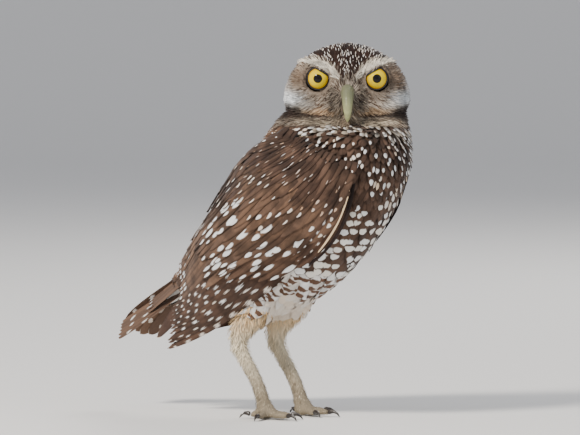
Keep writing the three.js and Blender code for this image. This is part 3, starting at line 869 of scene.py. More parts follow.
# %% Colours
DARK = srgb(52, 36, 29)
BROWN = srgb(88, 67, 54)
WARM = srgb(114, 86, 65)
TAN = srgb(164, 124, 86)
WHITE = srgb(222, 223, 222)
CREAM = srgb(224, 214, 194)
BUFF = srgb(200, 168, 126)
RUST = srgb(104, 68, 44)
COLLAR = srgb(164, 146, 122)
VENT = srgb(206, 202, 196)
LEG = srgb(224, 212, 186)
LEG_TOP = srgb(214, 178, 128)
BRISTLE = srgb(124, 110, 90)
CROWN = srgb(46, 30, 24)
PRIMARY = srgb(76, 55, 43)


def blend(a, b, share):
    return a + (b - a) * np.asarray(share)[:, None]


# %% [markdown]
# Each folded wing lies over the torso as a curved sheet, u from the bend back to the tips and v from its
# lower edge to its upper one. Feathers set out on it in rows follow it without any posing of bones. It is
# needed before the body's coat, because feathers under a wing are left out and those along its leading edge
# are lifted over it.

# %% Wing sheets
WING_LOW = np.array([
    [68, -30, 158], [59, -29, 137], [47, -28.5, 119], [31, -28.5, 104], [8, -28, 90],
    [-17, -27.5, 76], [-41, -26, 62], [-66, -23, 50], [-92, -19, 40.0],
])
FAR_WING_LOW = np.array([
    [52, -38, 160], [44, -37.5, 139], [32, -37, 121], [18, -36, 107], [-3, -35, 93],
    [-24, -32, 79], [-45, -28, 66], [-74, -15, 56], [-103, -3, 48.0],
])
WING_HIGH = np.array([
    [24, -31, 178], [2, -31, 168], [-20, -29, 157], [-38, -26, 144], [-52, -23, 131],
    [-62, -20.5, 119], [-70, -18.5, 109], [-76, -17, 100], [-80, -16, 92.0],
])
WING_BULGES = np.array([14, 18, 21, 22, 21, 18, 13, 7, 3.0])
WING_CLEARANCE = 1.2


def wing_point(low_line, u, v):
    low, high = along(low_line, u), along(WING_HIGH, u)
    p = low + (high - low) * v[..., None]
    p[..., 1] -= along(WING_BULGES, u) * 4 * v * (1 - v)
    p = clear_of_torso(p, WING_CLEARANCE)
    t, angle, _ = torso_place(p)
    hug = torso_point(t, angle, -3.4)
    p = hug + (p - hug) * smoothstep(-0.06, 0.2, u)[..., None]
    lay = torso_point(t, angle, 0.6)
    share = smoothstep(0.74, 1.0, v) * smoothstep(0.8, 0.5, u)
    return p + (lay - p) * share[..., None]


def wing_normal(low_line, u, v, step=0.02):
    du = wing_point(low_line, u + step, v) - wing_point(low_line, u - step, v)
    dv = wing_point(low_line, u, v + step) - wing_point(low_line, u, v - step)
    n = unit(np.cross(dv, du))
    return np.where(n[..., 1:2] > 0, -n, n)


# %% [markdown]
# The body coat. Upper breast feathers are brown with a small buff spot, lower down each carries a big bluish
# white spot, and the belly's are white with a brown bar. The back is brown with a white spot on each
# feather. Which is which follows from t and the angle round the body, so no mask is painted by hand. Below
# the neck the feathers stand in rows, as the bars of the belly do.


# %% Body coat
def body_lie(p, normals):
    b = row_to_body(p)
    k = smoothstep(125, 72, b[:, 2])
    way = np.stack([-0.5 - 0.45 * k, 0 * k, -0.86 + 0.5 * k], -1)
    return lie_on(normals, way @ TURN.T)


def body_looks(p, t, angle):
    n = len(p)
    h = p - HEAD
    angle = np.abs(np.degrees(angle))
    dice, dice_b = rng.random(n), rng.random(n)
    looks = looks_of(n, varied(blend(BROWN, DARK, rng.random(n) * 0.6), n), WHITE)
    front = smoothstep(108, 90, angle + rng.normal(0, 4, n))

    def paint(key, where, values):
        looks[key][where] = values[where]

    # upper breast and neck: blotches from buff to white on about half of the feathers
    blotch = dice < 0.45
    looks["spot"][:] = columns(n, rng.uniform(0.7, 0.8, n), np.where(blotch, rng.uniform(0.16, 0.26, n), 0),
                               rng.uniform(0.45, 0.8, n), rng.normal(0, 0.15, n))
    looks["mark"][:] = blend(WHITE, BUFF, dice_b**2 * 0.8)
    looks["edge"][:, 3] = 0.35
    collar = np.exp(-((h[:, 2] + 15.5 + 2 * rng.normal(0, 1, n)) / 4.2) ** 2) * smoothstep(12, -6, h[:, 1])
    pale = collar > 0.3 + dice_b * 1.2
    paint("ground", pale, varied(blend(COLLAR, WHITE, rng.random(n) * 0.55), n, 0.1))
    looks["edge"][pale, 3] = 0.5
    # breast: one big spot each
    big = front * smoothstep(0.14, 0.24, t) > dice * 0.94 + 0.03
    paint("spot", big, columns(n, rng.normal(0.8, 0.015, n), rng.uniform(0.12, 0.17, n),
                               rng.uniform(0.75, 1.05, n), rng.normal(0, 0.08, n)))
    paint("mark", big, varied(blend(WHITE, CREAM, dice_b * 0.6), n, 0.05))
    # belly and flanks: white with one brown bar showing on each feather
    barred = (front > 0.5) & (t + rng.normal(0, 0.012, n) > 0.4)
    paint("ground", barred, varied(blend(WHITE, BUFF, dice_b * 0.35), n, 0.06))
    paint("mark", barred, varied(blend(RUST, BROWN, 0.45 + 0.55 * dice_b), n, 0.08))
    paint("spot", barred, columns(n, rng.normal(0.79, 0.012, n), rng.uniform(0.085, 0.115, n), 3.0, 0.0))
    looks["edge"][barred, 3] = 0.2
    # lower belly and vent: plain
    plain = smoothstep(40, 24, angle) * smoothstep(0.48, 0.58, t) + smoothstep(0.84, 0.92, t)
    bare = (front > 0.5) & (plain > 0.2 + 0.6 * dice)
    buff_share = 0.1 + rng.random(n) * 0.3 + 0.3 * smoothstep(0.62, 0.8, t)
    paint("ground", bare, varied(blend(VENT, BUFF, buff_share), n, 0.05))
    looks["spot"][bare, 1] = 0
    looks["edge"][bare, 3] = 0.0
    # back: brown, most feathers with a spot
    back = front < 0.5
    paint("ground", back, varied(blend(BROWN, WARM, rng.random(n) * 0.6), n))
    paint("spot", back, columns(n, 0.82, np.where(dice < 0.6, 0.085, 0), rng.uniform(0.3, 0.5, n),
                                rng.normal(0, 0.3, n)))
    return looks


# %% Rows round the body
def near_wing(p):
    """Distance from points of the row frame to the wings' sheets, and to their leading edges."""
    sheet, lead = [], []
    b = row_to_body(p)
    for side, low_line in ((-1, WING_LOW), (1, FAR_WING_LOW)):
        u, v = np.meshgrid(np.linspace(0.1, 0.9, 26), np.linspace(0.12, 0.9, 12), indexing="ij")
        sheet.append(wing_point(low_line, u.ravel(), v.ravel()) * [1, -side, 1])
        lead.append(wing_point(low_line, np.zeros(14), np.linspace(0, 1, 14)) * [1, -side, 1])
    gaps = []
    for cloud in (np.concatenate(sheet), np.concatenate(lead)):
        gaps.append(np.sqrt(((b[:, None] - cloud[None]) ** 2).sum(-1).min(1)))
    return gaps


def ring_roots():
    """Roots in rows round the torso, half a step apart from row to row."""
    t_now, row = 0.15, 0
    places, ts, angles, reach, wide = [], [], [], [], []
    while t_now < 0.9:
        step = float(np.interp(t_now, [0.15, 0.24, 0.4, 0.6, 1], [0.018, 0.028, 0.032, 0.024, 0.022]))
        gap = step * 215
        ring = torso_point(np.full(73, t_now), np.linspace(-math.pi, math.pi, 73))
        lengths = np.concatenate([[0], np.cumsum(np.linalg.norm(np.diff(ring, axis=0), axis=1))])
        count = max(8, int(lengths[-1] / (gap * 1.15)))
        spots = (np.arange(count) + 0.5 * (row % 2) + rng.normal(0, 0.06, count)) / count * lengths[-1]
        angle = np.interp(spots % lengths[-1], lengths, np.linspace(-math.pi, math.pi, 73))
        t = t_now + rng.normal(0, step * 0.05, count)
        places.append(torso_point(t, angle, -3.2))
        run = np.linalg.norm(torso_point(t + step, angle) - torso_point(t, angle), axis=1)
        ts.append(t)
        angles.append(angle)
        reach.append(np.clip(run, 3.2, 8.0) * 3.1 * (0.45 + 0.55 * smoothstep(1.0, 0.8, t)))
        wide.append(np.full(count, lengths[-1] / count * 0.8))
        t_now += step
        row += 1
    places = body_to_row(np.concatenate(places))
    hits, normals, faces = [], [], []
    for p in places:
        hit, normal, face, _ = skin_tree.find_nearest(Vector(p))
        hits.append(hit)
        normals.append(normal)
        faces.append(face)
    return (np.array(hits), np.array(normals), np.array(faces), np.concatenate(ts), np.concatenate(angles),
            np.concatenate(reach), np.concatenate(wide))


def body_piece(label, p, normals, t, angle, length, width, depth):
    covered, lead = near_wing(p)
    keep = covered > 7.5
    p, normals, t, angle, length, width, depth, lead = (
        a[keep] for a in (p, normals, t, angle, length, width, depth, lead)
    )
    by_lead = np.exp(-((lead / 9) ** 2))
    n = len(p)
    length = length * (1 + 0.35 * by_lead)
    piece = laid_vanes("body_coat_" + label, p, body_lie(p, normals), length * rng.uniform(0.94, 1.08, n),
                       width * rng.uniform(0.92, 1.08, n), body_looks(p, t, angle), depth + 2.2 * by_lead,
                       rows=8, cols=5)
    piece.data.materials.append(feather)
    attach(piece, "root")


size = np.interp(face_t, [0, 0.08, 0.16, 1], [1.0, 1.25, 1.6, 1.6])
roots, normals, faces = scatter(on_body & (face_t < 0.155), 1.95 * size, 11)
scale = size[faces]
body_piece("neck", roots, normals, face_t[faces], face_angle[faces], scale * 6.8, scale * 1.95,
           rng.normal(3.1, 0.25, len(roots)))
roots, normals, faces, t, angle, length, width = ring_roots()
fits = on_body[faces] & (face_middles[faces][:, 2] > 46)
roots, normals, t, angle, length, width = (a[fits] for a in (roots, normals, t, angle, length, width))
for label, part in (("breast", t < 0.34), ("flanks", (t >= 0.34) & (t < 0.62)), ("belly", t >= 0.62)):
    body_piece(label, roots[part], normals[part], t[part], angle[part], length[part], width[part],
               rng.normal(3.2, 0.25, part.sum()))

# %% [markdown]
# The head coat is the finest. Round each eye the feathers stand out like the rays of a disc. Above the brows
# they fan from the root of the bill over the crown to the nape. The face's markings are soft patches, each
# with a place, a size and a colour, mirrored to the other side, so each can be moved by one number.

# %% Head coat
BILL_ROOT = np.array([0, -30.0, 2.0])
# Patches of the face: middle x and z, half sizes, colour, strength. The same on both sides of the bill.
FACE_PATCHES = [
    ((29, 14), (5.5, 6.5), srgb(118, 98, 80), 0.8),
    ((37, 7), (4, 10), srgb(172, 168, 164), 0.8),
    ((33, 1), (8, 5.2), srgb(228, 232, 234), 1.0),
    ((24, -2), (6, 3.4), srgb(216, 210, 200), 0.8),
    ((12, -11.5), (18, 3.6), srgb(200, 184, 160), 0.9),
    ((14, -4.5), (12, 2.4), srgb(190, 158, 122), 0.8),
    ((15, -7.2), (10, 1.1), srgb(54, 40, 33), 1.0),
    ((13, -10.2), (10, 0.9), srgb(64, 48, 39), 0.9),
    ((0, -12), (5, 3), srgb(150, 130, 108), 0.9),
    ((6.2, 0.8), (2.8, 5.2), srgb(46, 38, 34), 0.9),
    ((3.4, 10.2), (2.2, 2.0), srgb(48, 38, 34), 0.85),
    ((34, -6.6), (10, 5.0), srgb(40, 28, 23), 1.0),
    ((23, -8), (6, 1.8), srgb(44, 31, 26), 0.7),
]
BROW = np.array([  # the white brow: x, z and half its height
    [2.5, 12.0, 1.3], [8, 17.4, 2.5], [13, 21.4, 2.7], [18, 23.0, 2.2], [23, 23.9, 1.4], [27.5, 24.4, 0.8],
])


def brow_of(x, z):
    """How much of the white brow there is, and the height over its upper edge."""
    middle, half = (np.interp(x, BROW[:, 0], BROW[:, k]) for k in (1, 2))
    share = np.exp(-np.abs((z - middle) / half) ** 4) * smoothstep(1.8, 3.2, x) * smoothstep(28.5, 26.5, x)
    return share, z - middle - half


def face_colours(h, n, mottle=1.0):
    x, z = np.abs(h[:, 0]), h[:, 2]
    brow, above = brow_of(x, z)
    face = smoothstep(6, -4, h[:, 1])
    brow = brow * face
    dice = rng.random(n)
    dark = np.clip((dice < 0.36) * mottle + 0.25 * (1 - mottle), 0, 1)
    ground = blend(srgb(166, 153, 138), srgb(84, 66, 54), dark)
    for (px, pz), (rx, rz), colour, strength in FACE_PATCHES:
        share = strength * np.exp(-((((x - px) / rx) ** 2 + ((z - pz) / rz) ** 2) ** 1.6))
        ground = blend(ground, colour, share * (1 - 0.35 * mottle * (dice < 0.2)))
    from_eye = np.hypot(x - EYE_IN_HEAD[0], z - EYE_IN_HEAD[2])
    ground = blend(ground, srgb(112, 96, 82), 0.65 * np.exp(-(((from_eye - 8.6) / 2.2) ** 2)))
    crown = smoothstep(-0.4, 0.8, above)
    ground = blend(ground, varied(CROWN, n, 0.2), np.maximum(crown, 1 - face))
    ground = blend(ground, srgb(226, 218, 202), brow)
    low = smoothstep(-12.5, -15, z) * smoothstep(14, 22, x)
    ground = blend(ground, varied(BROWN, n, 0.2), low * face)
    return ground, np.maximum(crown, 1 - face) * (1 - brow), brow


def head_lie(h, normals):
    side = np.sign(h[:, 0] + 1e-6)
    eye = np.stack([side * EYE_IN_HEAD[0], np.full(len(h), -22.0), np.full(len(h), EYE_IN_HEAD[2])], -1)
    from_bill = unit(h - BILL_ROOT)
    near = np.exp(-(np.linalg.norm(h - eye, axis=1) / 17) ** 4)[:, None]
    from_eye = unit(h - eye)
    way = from_bill * (1 - 0.6 * near) + from_eye * 0.6 * near
    brow = brow_of(np.abs(h[:, 0]), h[:, 2])[0][:, None] * (h[:, 1:2] < 0)
    along_brow = np.stack([side * 0.85, np.full(len(h), 0.35), np.full(len(h), 0.5)], -1)
    way = way * (1 - brow) + along_brow * brow
    way[:, 2] -= 1.3 * smoothstep(0, 24, h[:, 1]) + 0.5 * smoothstep(-6, -14, h[:, 2])
    return lie_on(normals, way)


above = brow_of(np.abs(face_head[:, 0]), face_head[:, 2])[1]
face_front = on_head & (face_head[:, 1] < 5) & (above < 0.6)
crown_mask = on_head & ~face_front
crown_size = 0.8 + 0.6 * smoothstep(-22, 10, face_head[:, 1])
flat = np.ones(len(face_head))
right = face_head[:, 0] < 0
head_groups = (
    ("face_right", face_front & right, 0.72 * flat, 5.0, 0.3, 21),
    ("face_left", face_front & ~right, 0.72 * flat, 5.0, 0.3, 22),
    ("crown", crown_mask, 1.3 * crown_size, 5.6, 0.8, 23),
)
for label, mask, gap, long, wide, seed in head_groups:
    roots, normals, faces = scatter(mask, gap, seed)
    h = roots - HEAD
    n = len(roots)
    ground, crown, brow = face_colours(h, n)
    looks = looks_of(n, varied(ground, n, 0.1), CREAM)
    streaked = (rng.random(n) < 0.46) & (crown > 0.5)
    looks["spot"][:] = columns(n, 0.7, np.where(streaked, rng.uniform(0.2, 0.3, n), 0),
                               rng.uniform(0.4, 0.7, n), rng.normal(0, 0.1, n))
    looks["mark"][:] = blend(WHITE, BUFF, rng.random(n) * 0.5)
    looks["edge"][:, 3] = 0.3
    eye_near = np.exp(-((eye_gap[faces] - 8.7) / 4) ** 2)
    scale = crown_size[faces] if label == "crown" else flat[faces]
    length = long * scale * rng.uniform(0.85, 1.15, n) * (1 - 0.5 * eye_near)
    depth = coat_depth(roots) * rng.uniform(0.7, 1.15, n) * (1 + 0.5 * brow) * (1 - 0.4 * eye_near)
    depth = depth * (1 - 0.4 * crown) + 0.3 * streaked
    width = wide * scale * rng.uniform(0.85, 1.15, n) * (1 + 0.3 * brow) * np.where(streaked, 0.75, 1)
    piece = laid_vanes("head_coat_" + label, roots, head_lie(h, normals), length, width, looks, depth,
                       rows=6 if label == "crown" else 5, cols=3, thick=0.16, spread=0.12)
    piece.data.materials.append(feather)
    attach(piece, "root")

# %% [markdown]
# Stiff dark bristles stand round the root of the bill and lap over its top and sides. They are vanes too, but
# almost as narrow as hairs, and they follow the bill's own surface as well as the skin.

# %% Bristles
x, y, z = face_head.T
bristle_ground = (y < -19) & (np.abs(x) < 8) & (z > -5) & (z < 12.5)
roots, normals, faces = scatter(bristle_ground & (eye_gap > EYE_RADIUS + 1), 0.62, 24)
h = roots - HEAD
n = len(roots)
top = smoothstep(7.5, 9.5, h[:, 2])[:, None] * (np.abs(h[:, :1]) < 4.5)
sideways = np.sign(h[:, :1]) * np.clip(np.abs(h[:, :1]) / 5, 0.2, 1.2)
splay = np.concatenate([sideways, np.full((n, 1), -0.5), np.full((n, 1), -0.9)], 1)
over = np.concatenate([-h[:, :1] * 0.06, np.full((n, 1), -1.0), np.full((n, 1), -0.5)], 1)
way = lie_on(normals, splay * (1 - top) + over * top)
shade = np.clip(rng.normal(0.35, 0.3, n), 0, 1)
looks = looks_of(n, blend(srgb(48, 40, 36), srgb(158, 146, 130), shade))
top = top[:, 0]
bristles = laid_vanes("bill_bristles", roots, way, rng.uniform(4.0, 7.0, n) * (1 - 0.45 * top),
                      np.full(n, 0.16), looks, rng.uniform(0.8, 2.6, n) * (1 - 0.6 * top),
                      rows=7, cols=3, thick=0.12, spread=0.25, tree=face_tree)
bristles.data.materials.append(down)
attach(bristles, "root")

# %% [markdown]
# Cream down covers the thighs and the long bare-looking legs, and turns into grey-brown bristles on the toes.
# It is made as the body's coat is, only shorter, narrower and closer, because a bumpy skin alone would have
# a hard outline.

# %% Leg coat
FOOT_FORWARD, LEG_SPREAD = -12.5, 18.0


def leg_lie(p, normals):
    b = row_to_body(p)
    foot = np.stack([np.full(len(b), FOOT_FORWARD), np.sign(b[:, 1]) * LEG_SPREAD, np.full(len(b), 9.0)], -1)
    out = unit(b - foot)
    low = smoothstep(12, 7, b[:, 2])[:, None]
    down_way = np.array([-0.12, 0, -1.0])
    return lie_on(normals, (down_way * (1 - low) + out * low) @ TURN.T)


leg_groups = (
    ("thighs", on_thigh, 1.1, 6.0, 0.42, 31),
    ("shanks", on_shank, 0.8, 3.2, 0.24, 32),
    ("toes", on_foot & (face_normals[:, 2] > -0.35), 0.85, 2.4, 0.2, 33),
)
for label, mask, gap, long, wide, seed in leg_groups:
    roots, normals, faces = scatter(mask, gap, seed)
    n = len(roots)
    z = roots[:, 2]
    share = np.clip(smoothstep(48, 12, z) * 0.8 + rng.normal(0, 0.2, n), 0, 1)
    colour = blend(blend(LEG, LEG_TOP, smoothstep(46, 74, z)), BRISTLE, share)
    looks = looks_of(n, varied(colour, n, 0.1), CREAM)
    piece = laid_vanes("leg_coat_" + label, roots, leg_lie(roots, normals), long * rng.uniform(0.75, 1.2, n),
                       wide * rng.uniform(0.8, 1.2, n), looks, coat_depth(roots) * rng.uniform(0.5, 1.15, n),
                       rows=4, cols=3, thick=0.14, spread=0.2)
    piece.data.materials.append(down)
    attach(piece, "root")

# %% [markdown]
# The wing feathers are set out in rows on the sheet as on a real wing: primaries, secondaries, tertials,
# rows of coverts that get smaller towards the bend, and the shoulder feathers over their roots. Scattered
# roots would lose these rows, so each row is a line of roots and a line of tips, and a list tells them all.

# %% Wing feathers
# Rows, each from its lowest feather to its highest: count, roots, tips, half width, height, kind
WING_ROWS = [
    ("primary", 10, ((0.36, 0.04), (0.46, 0.42)), ((1.0, 0.02), (0.97, 0.5)), 4.4, 0.5),
    ("secondary", 9, ((0.34, 0.43), (0.32, 0.86)), ((0.93, 0.52), (0.9, 0.9)), 5.2, 1.2),
    ("tertial", 4, ((0.3, 0.8), (0.28, 0.96)), ((0.84, 0.76), (0.74, 0.97)), 6.0, 2.0),
    ("primary_covert", 7, ((0.22, 0.03), (0.3, 0.3)), ((0.54, 0.03), (0.62, 0.33)), 4.0, 1.9),
    ("primary_covert", 6, ((0.12, 0.02), (0.22, 0.28)), ((0.4, 0.02), (0.47, 0.3)), 3.8, 2.8),
    ("greater_covert", 10, ((0.34, 0.32), (0.3, 0.92)), ((0.68, 0.34), (0.64, 0.92)), 4.8, 2.2),
    ("greater_covert", 11, ((0.3, 0.26), (0.26, 0.93)), ((0.58, 0.3), (0.56, 0.93)), 4.6, 2.7),
    ("median_covert", 11, ((0.25, 0.2), (0.22, 0.93)), ((0.49, 0.22), (0.48, 0.94)), 4.4, 3.1),
    ("median_covert", 12, ((0.2, 0.1), (0.18, 0.94)), ((0.41, 0.12), (0.41, 0.95)), 4.2, 3.4),
    ("lesser_covert", 13, ((0.17, 0.05), (0.15, 0.95)), ((0.345, 0.06), (0.345, 0.95)), 3.9, 3.7),
    ("lesser_covert", 14, ((0.13, 0.04), (0.12, 0.95)), ((0.29, 0.05), (0.29, 0.96)), 3.6, 3.9),
    ("lesser_covert", 15, ((0.1, 0.04), (0.09, 0.96)), ((0.24, 0.04), (0.24, 0.96)), 3.3, 4.1),
    ("marginal_covert", 16, ((0.07, 0.04), (0.06, 0.96)), ((0.195, 0.04), (0.195, 0.97)), 3.0, 4.25),
    ("marginal_covert", 17, ((0.04, 0.03), (0.03, 0.97)), ((0.155, 0.04), (0.155, 0.97)), 2.8, 4.4),
    ("marginal_covert", 18, ((0.01, 0.03), (0.0, 0.97)), ((0.115, 0.03), (0.115, 0.97)), 2.6, 4.55),
    ("marginal_covert", 19, ((-0.02, 0.02), (-0.03, 0.98)), ((0.075, 0.03), (0.075, 0.98)), 2.4, 4.7),
    ("marginal_covert", 20, ((-0.05, 0.02), (-0.06, 0.98)), ((0.035, 0.02), (0.035, 0.98)), 2.3, 4.8),
    ("alula", 3, ((0.03, 0.02), (0.05, 0.1)), ((0.42, 0.0), (0.38, 0.08)), 3.2, 3.4),
    ("scapular", 7, ((0.12, 0.7), (0.3, 1.0)), ((0.33, 0.62), (0.5, 0.93)), 4.2, 3.9),
    ("scapular", 6, ((0.04, 0.76), (0.2, 1.0)), ((0.22, 0.68), (0.38, 0.94)), 3.9, 4.2),
    ("dark_line", 1, ((0.02, -0.03), (0.02, -0.03)), ((0.4, -0.03), (0.4, -0.03)), 1.3, 3.2),
    ("pale_line", 1, ((0.0, 0.0), (0.0, 0.0)), ((0.34, -0.006), (0.34, -0.006)), 0.5, 4.6),
]


# Spots by kind: middle along, half length, half width, middle across, share with one, a second one's middle
WING_SPOTS = {
    "secondary": (0.88, 0.034, 0.36, -0.45, 0.85, 0.77),
    "tertial": (0.86, 0.036, 0.36, 0.25, 0.9, 0.7),
    "primary_covert": (0.84, 0.07, 0.45, -0.4, 0.5, 0.64),
    "greater_covert": (0.85, 0.08, 0.5, -0.35, 0.7, 0.64),
    "median_covert": (0.83, 0.11, 0.62, -0.2, 0.55, 0.52),
    "lesser_covert": (0.83, 0.12, 0.6, -0.1, 0.5, -1.0),
    "marginal_covert": (0.86, 0.12, 0.45, 0.0, 0.68, -1.0),
    "scapular": (0.82, 0.11, 0.8, -0.1, 0.8, -1.0),
}
WING_GROUNDS = {"primary": PRIMARY, "alula": PRIMARY, "tertial": WARM, "primary_covert": srgb(84, 62, 48)}
WING_DARK = {"marginal_covert": (0.8, 0.15), "scapular": (1.0, 0.1)}  # share of dark, spread
WING_LINES = {"dark_line": srgb(50, 38, 34), "pale_line": srgb(216, 190, 152)}


def wing_looks(kind, n):
    looks = looks_of(n, varied(blend(BROWN, WARM, rng.random(n) * 0.5), n, 0.12), varied(WHITE, n, 0.05))
    looks["edge"][:, 3] = 0 if kind == "pale_line" else 0.3
    dice, dice_b = rng.random(n), rng.random(n)
    if kind in WING_GROUNDS:
        looks["ground"][:] = varied(WING_GROUNDS[kind], n, 0.1)
    if kind in WING_DARK:
        dark, spread = WING_DARK[kind]
        looks["ground"][:] = varied(blend(BROWN, DARK, rng.random(n) * dark), n, spread)
    if kind in WING_LINES:
        looks["ground"][:] = WING_LINES[kind]
    if kind in WING_SPOTS:
        s, half_long, half_wide, off, share, second = WING_SPOTS[kind]
        looks["spot"][:] = columns(
            n, s + rng.normal(0, 0.012, n), np.where(dice < share, half_long * rng.uniform(0.75, 1.15, n), 0),
            half_wide * rng.uniform(0.8, 1.1, n), off + rng.normal(0, 0.1, n),
        )
        looks["edge"][:, 1] = np.where((dice < share) & (dice_b < 0.6), second, -1)
    if kind in ("primary", "alula"):
        looks["band"][:] = columns(n, np.where(dice_b < 0.85, rng.normal(8.5, 0.6, n), 0),
                                   rng.uniform(0.12, 0.19, n), 0, rng.normal(-0.66, 0.08, n))
        looks["mark"][:] = blend(WHITE, BUFF, dice * 0.5)
    elif kind == "marginal_covert":
        looks["mark"][:] = blend(WHITE, TAN, rng.random(n))
    elif kind in ("lesser_covert", "scapular"):
        looks["mark"][:] = blend(WHITE, BUFF, dice_b * (0.6 if kind == "lesser_covert" else 0.5))
    return looks


def wing_vanes(side, low_line):
    mirror = np.array([1, -side, 1])
    for kind, count, (root_low, root_high), (tip_low, tip_high), half, lift in WING_ROWS:
        f = np.linspace(0, 1, count)[:, None]
        root = np.array(root_low) * (1 - f) + np.array(root_high) * f
        tip = np.array(tip_low) * (1 - f) + np.array(tip_high) * f
        loose = 1.0 if "covert" in kind or kind == "scapular" else 0.35
        root = root + rng.normal(0, 0.008, root.shape) * loose
        tip = tip + rng.normal(0, 0.013, tip.shape) * loose
        rows, cols = 14, 7
        s, outline = outline_of(rows, 4.0 if kind in ("primary", "secondary") else 3.0, 0.6)
        c = np.linspace(-1, 1, cols)
        share = s[None, :, None]
        u = root[:, None, :1] * (1 - share) + tip[:, None, :1] * share
        v = root[:, None, 1:] * (1 - share) + tip[:, None, 1:] * share
        u = np.repeat(u, cols, 2)
        span = np.linalg.norm(along(WING_HIGH, u) - along(low_line, u), axis=-1) * 1.12
        v = v + c * half * outline[None, :, None] / span
        place = wing_point(low_line, u, v)
        normal = wing_normal(low_line, u, v)
        rise = -0.8 + (lift + 0.8) * smoothstep(0, 0.3, s)[None, :, None]
        height = rise - c * 0.7 + 0.5 * (1 - c**2) + f[:, :, None] * 0.5
        top = place + normal * height[..., None]
        bottom = top - normal * (0.35 * (1 - c**2))[..., None]
        top, bottom = body_to_row(top * mirror), body_to_row(bottom * mirror)
        if side > 0:
            top, bottom = top[:, :, ::-1], bottom[:, :, ::-1]
        yield kind, top, bottom, count


for label, side, low_line in (("right", -1, WING_LOW), ("left", 1, FAR_WING_LOW)):
    tops, bottoms, looks = [], [], []
    for kind, top, bottom, count in wing_vanes(side, low_line):
        tops.append(top)
        bottoms.append(bottom)
        row_looks = wing_looks(kind, count)
        if side > 0:
            row_looks["spot"][:, 3] *= -1
        looks.append(row_looks)
    joined = {key: np.concatenate([part[key] for part in looks]) for key in looks[0]}
    wing = vane_mesh("wing_feathers_" + label, np.concatenate(tops), np.concatenate(bottoms), joined)
    wing.data.materials.append(feather)
    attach(wing, "root")
    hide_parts("wing_" + label)

# %% [markdown]
# The tail is twelve stiff feathers, laid like a closed fan under a low roof, with pale spots along both webs.
# They lie free of the skin, so they are set out in straight lines in the body's frame. Short coverts hide
# their roots above and below.

# %% Tail
TAIL_ROOT, TAIL_TIP = np.array([-88.0, 87]), np.array([-146.0, 55])
TAIL_HALF_WIDTH, TAIL_DROP, TAIL_COUNT = 13.0, 12.0, 12
TAIL_RUN = TAIL_TIP - TAIL_ROOT
TAIL_UP = np.array([TAIL_RUN[1], 0, -TAIL_RUN[0]]) / np.linalg.norm(TAIL_RUN)


def tail_feathers():
    side = np.linspace(-1, 1, TAIL_COUNT)[:, None, None]
    out = np.abs(side)
    s, outline = outline_of(14, 5.0, 0.6)
    s = s[None, :, None]
    c = np.linspace(-1, 1, 7)[None, None, :]
    length = 1 - 0.13 * out**2 + rng.normal(0, 0.012, out.shape)
    across = unit(np.stack([0 * side, np.ones_like(side), -np.sign(side) * 0.85], -1))
    drop = TAIL_DROP * out**1.15 * (0.6 + 0.4 * s) + 2.6 * out
    place = np.stack([
        TAIL_ROOT[0] + TAIL_RUN[0] * s * length,
        side * (6 + (TAIL_HALF_WIDTH - 6) * s),
        TAIL_ROOT[1] + TAIL_RUN[1] * s * length - drop,
    ], -1)
    place = place + across * (c * 6.2 * outline[None, :, None])[..., None]
    normal = unit(TAIL_UP + np.stack([0 * side, np.sign(side) * 0.8, 0 * side], -1))
    top = place + normal * (0.6 * (1 - c**2))[..., None]
    bottom = top - normal * (0.4 * (1 - c**2))[..., None]
    return body_to_row(top), body_to_row(bottom)


def free_vane(start, end, half, normal, bow=2.0):
    """One vane in the body's frame along a line from start to end, facing the normal."""
    start, end, normal = (np.array(a, float) for a in (start, end, normal))
    s, outline = outline_of(14, 2.4, 0.6)
    c = np.linspace(-1, 1, 7)
    way = unit(end - start)
    across = unit(np.cross(way, normal))
    face = np.cross(across, way)
    arch = (1 - c**2)[None, :, None]
    place = start + (end - start) * s[:, None] + face * (bow * np.sin(s * math.pi))[:, None]
    top = place[:, None] + across * (c * half)[None, :, None] * outline[:, None, None] + face * 0.5 * arch
    return top[None], top[None] - face * 0.35 * arch


def tail_coverts():
    """Short vanes over the root of the tail, above and below."""
    tops, bottoms = [], []
    along_tail = np.array([TAIL_RUN[0], 0, TAIL_RUN[1]])
    for over, sign in ((1.6, 1), (-7.0, -1)):
        above = sign > 0
        for row, (begin, reach) in enumerate(((0.1, 0.62), (0.0, 0.48), (-0.12, 0.34), (-0.22, 0.2))):
            for side in np.linspace(-1, 1, 8):
                across = side * ((9.5 if above else 5.5) + row * 0.5)
                base = np.array([TAIL_ROOT[0], across, TAIL_ROOT[1]])
                drop = -TAIL_DROP * 0.6 * abs(side) ** 1.15 * (1 if above else 0.2)
                start = base + along_tail * begin + TAIL_UP * (over + sign * row * 0.8 + drop)
                end = base + along_tail * (reach - 0.05 * abs(side))
                end = end + TAIL_UP * (over * 0.55 + sign * row * 0.5 + drop * 1.3)
                normal = TAIL_UP * sign + np.array([0, math.copysign(0.75, side) if above else side * 0.5, 0])
                top, bottom = free_vane(start, end, 4.6, normal, 0.6)
                tops.append(top)
                bottoms.append(bottom)
    return np.concatenate(tops), np.concatenate(bottoms)


